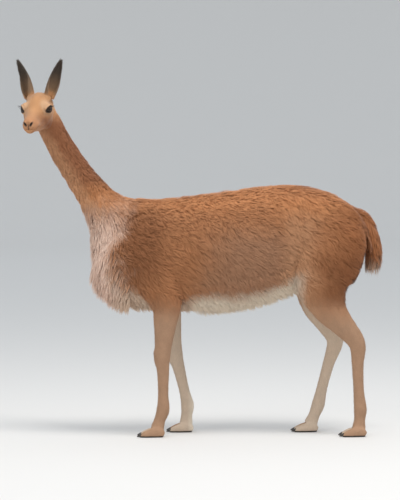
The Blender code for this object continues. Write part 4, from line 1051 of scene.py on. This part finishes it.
def tufts(name, seed, place, out, flat, lie, length, half_width, rise, steps=2, pull=0.0, leader=24,
          sunk=0.0016, curl=0.0, soft=0.55, material=None, ground=None):
    """One mesh of closed, tapered, three-sided tufts, each with its root's place and patch of the unwrap.

    A tuft lies along the hide and rises over it, its tip settled on the ground's shape and drawn by
    pull towards the nearest of every leader tufts. Its sides face half outwards, which is soft.
    """
    draw = np.random.default_rng(seed)
    count = len(place)
    swing = draw.normal(0, 0.15, count)[:, None]
    side = np.cross(lie, out)
    lie = lie * np.cos(swing) + side * np.sin(swing)
    side = np.cross(lie, out)
    length = (length * draw.uniform(0.72, 1.22, count))[:, None]
    half_width = (half_width * draw.uniform(0.75, 1.25, count))[:, None]
    rise = (rise * draw.uniform(0.72, 1.18, count))[:, None]
    shift = np.zeros((count, 3))
    bend = draw.normal(0, curl, count)[:, None] * length
    tips = place + lie * length + out * rise
    settle = np.zeros((count, 3))
    there = out
    if ground is not None:
        high, there = ground.above(place + lie * length)
        settle = -there * np.clip(high, -0.010, 0.022)[:, None]
        tips = tips + settle
    if pull > 0:
        leaders = draw.choice(count, max(1, count // leader), replace=False)
        tree = tree_of(place[leaders])
        nearest = np.array([tree.find(p)[1] for p in place])
        shift = (tips[leaders][nearest] - tips) * pull
    centres = []
    widths = []
    for k in range(steps + 1):
        t = k / steps if steps > 1 else float(k)
        if steps == 2 and k == 1:
            t = 0.45
        height = rise * t * (2 - t) - sunk * (1 - t) ** 2
        away = out * (1 - t) + there * t
        centre = place + lie * length * t + away * height + settle * t * t + shift * t**1.5
        centres.append(centre + side * bend * math.sin(math.pi * 1.5 * t))
        widths.append(half_width * (0.62 + 1.5 * t - 2.05 * t * t))
    points = []
    combs = []
    leans = []
    chance = draw.random(count)
    for k in range(steps):
        t = k / steps
        for across, up in ((-1, -0.12), (1, -0.12), (0, 0.34)):
            points.append(centres[k] + side * across * widths[k] + out * up * widths[k])
            combs.append(np.column_stack((np.full(count, (across + 1) / 2), np.full(count, t), chance)))
            leans.append(out * soft + (side * across + out * (up + 0.12) * 2) * (1 - soft))
    points.append(centres[steps])
    combs.append(np.column_stack((np.full(count, 0.5), np.ones(count), chance)))
    leans.append(out + lie * 0.2)
    points = np.stack(points, 1)
    points[:, :, 2] = np.maximum(points[:, :, 2], 0.0004)
    combs = np.stack(combs, 1)
    leans = unit(np.stack(leans, 1))
    faces = [(0, 1, 2)]
    for k in range(steps - 1):
        for a, b in ((0, 1), (1, 2), (2, 0)):
            low_a, low_b, high_a, high_b = 3 * k + a, 3 * k + b, 3 * k + 3 + a, 3 * k + 3 + b
            faces += [(low_a, high_b, low_b), (low_a, high_a, high_b)]
    last = 3 * (steps - 1)
    faces += [(last + a, 3 * steps, last + b) for a, b in ((0, 1), (1, 2), (2, 0))]
    faces = np.array(faces)
    each = 3 * steps + 1
    corners = (faces[None] + (np.arange(count) * each)[:, None, None]).reshape(-1)
    mesh = bpy.data.meshes.new(name)
    mesh.vertices.add(count * each)
    mesh.vertices.foreach_set("co", (points + np.array(STAND)).reshape(-1))
    mesh.loops.add(len(corners))
    mesh.loops.foreach_set("vertex_index", corners.astype(np.int32))
    mesh.polygons.add(len(corners) // 3)
    mesh.polygons.foreach_set("loop_start", np.arange(0, len(corners), 3, dtype=np.int32))
    mesh.update(calc_edges=True)
    roots = np.repeat((place + np.array(STAND))[:, None], each, 1)
    mesh.attributes.new("root", "FLOAT_VECTOR", "POINT").data.foreach_set("vector", roots.reshape(-1))
    mesh.attributes.new("comb", "FLOAT_VECTOR", "POINT").data.foreach_set("vector", combs.reshape(-1))
    patch = flat[:, None] + (combs[:, :, :2] - 0.5) * 0.003
    mesh.uv_layers.new(name="OFBake").data.foreach_set("uv", patch.reshape(-1, 2)[corners].reshape(-1))
    mesh.shade_smooth()
    ends = np.sort(rows_of(mesh.edges, "vertices", 2, np.int32) % each, axis=1)
    edge_of_strip = (ends[:, 0] % 3 < 2) & ((ends[:, 1] == 3 * steps) | (ends[:, 0] % 3 == ends[:, 1] % 3))
    sharp = mesh.attributes.new("sharp_edge", "BOOLEAN", "EDGE")
    sharp.data.foreach_set("value", edge_of_strip | (ends[:, 1] < 3))
    shaped = points.reshape(-1, 3)[corners].reshape(-1, 3, 3)
    facing = unit(np.cross(shaped[:, 1] - shaped[:, 0], shaped[:, 2] - shaped[:, 0]))
    facing = np.repeat(facing, 3, 0)
    bent = leans.reshape(-1, 3)[corners]
    bent = unit(bent + facing * np.clip(1.00 - (bent * facing).sum(1), 0, None)[:, None])
    normals = mesh.attributes.new("custom_normal", "FLOAT_VECTOR", "CORNER")
    normals.data.foreach_set("vector", bent.reshape(-1))
    piece = bpy.data.objects.new(name, mesh)
    bpy.context.scene.collection.objects.link(piece)
    mesh.materials.append(material or wool)
    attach(piece, "root")


def tail_share(places):
    """True on the tail."""
    behind = (places[:, 1] > 0.432) & (np.abs(places[:, 0]) < 0.045)
    return behind & (places[:, 2] > 0.58) & (places[:, 2] < 0.80)


def band_share(first, last):
    """The share of wool in one band along the body, clear of the neck and of the tail below its root."""
    def share(middle, out):
        band = (middle[:, 1] > first) * (middle[:, 1] <= last) * (woolly(middle) > 0.02)
        neck = (middle[:, 1] < NECK_BEHIND) & (middle[:, 2] > 0.83)
        return band * ~neck * ~(tail_share(middle) & (middle[:, 2] < TAIL_ROOT_WOOL))
    return share


# Bands along the body: name, where each starts and ends, and its tufts of wool
WOOL_BANDS = (
    ("shoulders", -0.60, -0.20, 10000), ("ribs", -0.20, 0.02, 9000), ("loins", 0.02, 0.20, 8000),
    ("haunches", 0.20, 0.60, 11500),
)
WOOL_LENGTH = 0.031
WOOL_HALF = 0.0015
WOOL_RISE = 0.0100
LONGER_BELOW = 0.012
LOOSER_BELOW = 0.004
DOWN_TO_WOOL = 2.2
DOWN_LENGTH = 0.022
DOWN_HALF = 0.0013
DOWN_RISE = 0.0088
LOCK_SPACING = 0.048
NECK_BEHIND = -0.25
TAIL_ROOT_WOOL = 0.750
for number, (name, first, last, count) in enumerate(WOOL_BANDS):
    share = band_share(first, last)
    place, out, flat = grounds["hide"].roots(count, 100 + number, share)
    wool_share = woolly(place)
    under = fade(-out[:, 2], 0.15, 0.75)
    waves = ripple(place, LOCK_SPACING, 3)
    length = (WOOL_LENGTH + LONGER_BELOW * under) * (0.36 + 0.64 * wool_share) * (1 + 0.10 * waves)
    rise = (WOOL_RISE + LOOSER_BELOW * under) * (0.20 + 0.80 * wool_share) * (1 + 0.24 * waves)
    tufts("wool_" + name, 200 + number, place, out, flat, lie_of(place, out), length,
          WOOL_HALF * (0.7 + 0.3 * wool_share), rise, pull=0.34, leader=14, curl=0.07,
          ground=grounds["hide"])
    place, out, flat = grounds["hide"].roots(round(count * DOWN_TO_WOOL), 104 + number, share)
    wool_share = woolly(place)
    waves = ripple(place, LOCK_SPACING, 3)
    length = DOWN_LENGTH * (0.40 + 0.60 * wool_share) * (1 + 0.10 * waves)
    rise = DOWN_RISE * (0.20 + 0.80 * wool_share) * (1 + 0.24 * waves)
    tufts("down_" + name, 204 + number, place, out, flat, lie_of(place, out), length,
          DOWN_HALF * (0.8 + 0.2 * wool_share), rise, 1, pull=0.26, leader=30, soft=0.65,
          ground=grounds["hide"])


# Wool of the neck: shorter than the body's, and shorter still towards the head, where it meets the
# close hair of the cheeks. It grows down the neck, with its own down between the tufts.
# Name, seed, tufts and steps of each, then length, half width and rise
NECK_COATS = (
    ("wool_neck", 110, 11500, 2, 0.025, 0.0013, 0.0080), ("down_neck", 111, 24000, 1, 0.018, 0.0012, 0.0070),
)


def bare_of(middle, ground, high):
    """True where a hide's place isn't buried in another hide, which lies above a height."""
    near = middle[:, 2] > high
    clear = np.ones(len(middle), bool)
    clear[near] = ground.above(middle[near])[0] > -0.0012
    return clear


def neck_share(middle, out):
    """1 on the neck, where it isn't inside the head."""
    on_neck = (middle[:, 1] < NECK_BEHIND) & (middle[:, 2] > 0.80)
    return (on_neck & bare_of(middle, grounds["head"], 1.07)).astype(float)


for name, seed, count, steps, long, thick, stands in NECK_COATS:
    place, out, flat = grounds["hide"].roots(count, seed, neck_share)
    high = fade(place[:, 2], 0.98, 1.12)
    waves = ripple(place, 0.042, 4) * (1 - high)
    length = long * (1 - 0.44 * high) * (1 + 0.10 * waves)
    rise = stands * (1 - 0.65 * high) * (1 + 0.24 * waves)
    tufts(name, seed + 100, place, out, flat, lie_of(place, out), length, thick, rise, steps, pull=0.32,
          leader=16, curl=0.06, soft=0.55, ground=grounds["hide"])


# Hair of the shanks: short and flat, pointing down the leg, and shortest over the toes.
SHANK_TUFTS = 10500
SHANK_HAIR_LENGTH = 0.0125
SHANK_HAIR_HALF = 0.0013
SHANK_HAIR_RISE = 0.0019


def shank_share(side, fore):
    """The share of short hair on one leg, below the wool and clear of the floor."""
    def share(middle, out):
        on = (woolly(middle) < 0.75) & (np.sign(middle[:, 0]) == side) & ((middle[:, 1] < 0) == fore)
        return on * (middle[:, 2] > 0.013)
    return share


for number, (name, side, back, leg, leans_from) in enumerate(STANCE):
    share = shank_share(side, name.startswith("fore"))
    place, out, flat = grounds["hide"].roots(SHANK_TUFTS, 120 + number, share)
    foot = fade(place[:, 2], 0.10, 0.03)
    length = SHANK_HAIR_LENGTH - 0.0055 * foot
    tufts("hair_shank_" + name, 220 + number, place, out, flat, lie_of(place, out), length,
          SHANK_HAIR_HALF, SHANK_HAIR_RISE - 0.0006 * foot, 1)


# Hair of the head: close and fine, drawn back from the nose and outwards from the eyes, longer on the
# cheeks and crown. The lids' edges, the nostrils, the mouth's line and the lip's cleft stay bare.
HEAD_TUFTS = 30000


def face_share(middle, out):
    """Even over the head, but not on the lids, in the nostrils or the mouth, or inside the neck."""
    local = (middle - np.array(POLL)) @ np.array((leftward, -forward, upward)).T
    on = bare_of(middle, grounds["hide"], 0.0)
    for side in (-1, 1):
        turn = eye_frame(side)
        seen = (local - np.array(turn.translation)) @ np.array(turn.to_3x3())
        open_lids = (seen[:, 0] / EYE_OPENING[0]) ** 2 + (seen[:, 1] / EYE_OPENING[1]) ** 2 < 1.22
        on &= ~((open_lids & (seen[:, 2] > 0)) | (np.linalg.norm(seen, axis=1) < EYE_RADIUS + 0.001))
        nose = local - np.array((side * NOSTRIL.x, NOSTRIL.y, NOSTRIL.z))
        slit = nose[:, 0] * side * math.sin(NOSTRIL_LEAN) + nose[:, 2] * math.cos(NOSTRIL_LEAN)
        beside = nose[:, 0] * side * math.cos(NOSTRIL_LEAN) - nose[:, 2] * math.sin(NOSTRIL_LEAN)
        on &= ((slit / 0.0085) ** 2 + (beside / 0.0036) ** 2 > 1) | (local[:, 1] > -0.205)
    mouth = np.abs(local[:, 2] + MOUTH_SLOPE * local[:, 1] + MOUTH_DROP) < 0.0022
    on &= ~(mouth & (local[:, 1] < -MOUTH_CORNER))
    on &= ~((np.abs(local[:, 0]) < 0.0024) & (local[:, 1] < -0.214) & (local[:, 2] < 0.006))
    return on.astype(float)


place, out, flat = grounds["head"].roots(HEAD_TUFTS, 130, face_share)
local = (place - np.array(POLL)) @ np.array((leftward, -forward, upward)).T
eye_side = np.where(local[:, :1] < 0, -1, 1) * np.array((EYE_AT.x, 0, 0)) + np.array((0, EYE_AT.y, EYE_AT.z))
from_eye = local - eye_side
eye_away = np.linalg.norm(from_eye, axis=1)
crown = fade(local[:, 1], -0.075, -0.02) * fade(local[:, 2], 0.0, 0.03)
cheek = fade(local[:, 1], -0.10, -0.03)
nose = fade(local[:, 1], -0.17, -0.21)
by_eye = (1 - fade(eye_away, 0.025, 0.042))[:, None]
to_head = np.array((leftward, -forward, upward))
lie = laid(lie_of(place, out) * (1 - by_eye) + unit(from_eye) @ to_head * by_eye, out)
length = 0.0078 + 0.006 * cheek + 0.006 * crown - 0.0030 * nose
length *= np.clip((eye_away - 0.017) / 0.020, 0.30, 1)
rise = 0.0013 + 0.0018 * cheek + 0.0040 * crown - 0.0004 * nose
rise *= np.clip((eye_away - 0.020) / 0.02, 0.35, 1)
tufts("hair_head", 230, place, out, flat, lie, length, 0.00095 + 0.0005 * cheek - 0.0002 * nose, rise, 1,
      ground=grounds["head"])


# Hair of the ears: very short on the backs, a little longer and softer in the cups, up to the tips.
EAR_TUFTS = 6000
EAR_HAIR_HALF = 0.0010
# In the cup and on the back
EAR_HAIR_LENGTHS = (0.010, 0.0075)
EAR_HAIR_RISES = (0.0024, 0.0010)


def whole_ear(middle, out):
    """1 all over the ear."""
    return np.ones(len(middle))


for side, word in ((-1, "right"), (1, "left")):
    axis, opens = ear_frame(side)[1:3]
    place, out, flat = grounds["ear_" + word].roots(EAR_TUFTS, 140 + side, whole_ear)
    in_cup = out @ np.array(opens) > 0.25
    length = np.where(in_cup, *EAR_HAIR_LENGTHS)
    tufts("hair_ear_" + word, 240 + side, place, out, flat, laid(np.array(axis), out), length,
          EAR_HAIR_HALF, np.where(in_cup, *EAR_HAIR_RISES), 1, sunk=0.0008)


# Lashes: long dark hairs set in the edge of each upper lid, fanned out over the eye, longest in the
# middle of the lid and bent down a little.
LASHES = 64
LASH_LENGTH = 0.0145
LASH_HALF = 0.00026
LASH_ROOT = (0.012, 0.009, 0.008, 1)
LASH_TIP = (0.050, 0.034, 0.024, 1)
lash, base, tone = shader("dark lashes", {"Roughness": 0.42})
feed(base, "Base Color", tone.kept("comb").along((0, 1, 0)).blend(LASH_ROOT, LASH_TIP))
for side, word in ((-1, "right"), (1, "left")):
    turn = np.array(head_set @ eye_frame(side))
    angle = np.linspace(math.radians(14), math.radians(166), LASHES)
    rim = np.array([almond(a) for a in angle])
    depth = np.sqrt(np.clip(EYE_RADIUS**2 - rim[:, 0] ** 2 - rim[:, 1] ** 2, 0, None)) + 0.0016
    local = np.column_stack((rim * 1.04, depth))
    fan = unit(np.column_stack((0.75 * np.cos(angle), 0.10 + 0.12 * np.sin(angle), np.full(LASHES, 0.85))))
    up = laid(np.array((0.0, 1.0, 0.0)), fan)
    place = local @ turn[:3, :3].T + turn[:3, 3]
    length = LASH_LENGTH * (0.55 + 0.45 * np.sin(angle))
    droop = np.full(LASHES, -0.0055)
    tufts("lashes_" + word, 260 + side, place, up @ turn[:3, :3].T, np.full((LASHES, 2), 0.5),
          fan @ turn[:3, :3].T, length, LASH_HALF, droop, 4, sunk=0.0, soft=0.3, material=lash)


# Bib: long, silky, pale locks that hang from the front of the chest, longest in the middle, and run
# out upwards into the wool of the neck.
BIB_LOCKS = 3900
LOCK_HALF = 0.0021


def bib_share(middle, out):
    """The share of long locks on the chest, which fades out at its sides and up the neck."""
    on = (middle[:, 1] < -0.395) & (middle[:, 2] > 0.47) & (out[:, 1] < -0.1)
    return on * fade(np.abs(middle[:, 0]), 0.092, 0.066) * fade(middle[:, 2], 0.83, 0.70)


place, out, flat = grounds["hide"].roots(BIB_LOCKS, 150, bib_share)
high = fade(place[:, 2], 0.47, 0.62)
top = fade(place[:, 2], 0.68, 0.80)
lie = unit(np.array((0.0, -0.10, -1.0)) + np.outer(top, (0.0, 0.42, 0.12)) + 0.10 * out)
middle_share = 1 - fade(np.abs(place[:, 0]), 0.045, 0.085)
length = (0.048 + 0.036 * high - 0.040 * top) * (0.55 + 0.45 * middle_share)
tufts("locks_bib", 250, place, laid(out, lie), flat, lie, length, LOCK_HALF - 0.0006 * top,
      0.015 - 0.008 * top, 4, 0.34, 12, curl=0.035, soft=0.50)


# Tail: long hair that hangs straight down from the short dock and hides it.
TAIL_LOCKS = 2800
TAIL_LOCK_LENGTH = 0.062


def tail_locks_share(middle, out):
    """1 on the tail."""
    return tail_share(middle).astype(float)


place, out, flat = grounds["hide"].roots(TAIL_LOCKS, 151, tail_locks_share)
lie = unit(np.array((0.0, 0.02, -1.0)) + 0.14 * out)
tufts("locks_tail", 251, place, laid(out, lie), flat, lie, TAIL_LOCK_LENGTH, LOCK_HALF, 0.013, 3, 0.32,
      14, curl=0.04, soft=0.50)


# Belly: a loose, pale fringe under the body, from the chest to the hind legs, that breaks its line.
BELLY_LOCKS = 6500
BELLY_LOCK_LENGTH = 0.027


def belly_share(middle, out):
    """1 on the underside of the body."""
    along = (middle[:, 1] > -0.44) & (middle[:, 1] < 0.24)
    return ((out[:, 2] < -0.35) & along & (woolly(middle) > 0.15)).astype(float)


place, out, flat = grounds["hide"].roots(BELLY_LOCKS, 152, belly_share)
lie = unit(np.array((0.0, 0.62, -0.60)) + 0.15 * out)
tufts("locks_belly", 252, place, laid(out, lie), flat, lie, BELLY_LOCK_LENGTH, 0.0017, 0.006, 2, 0.30, 14,
      curl=0.06, soft=0.45)
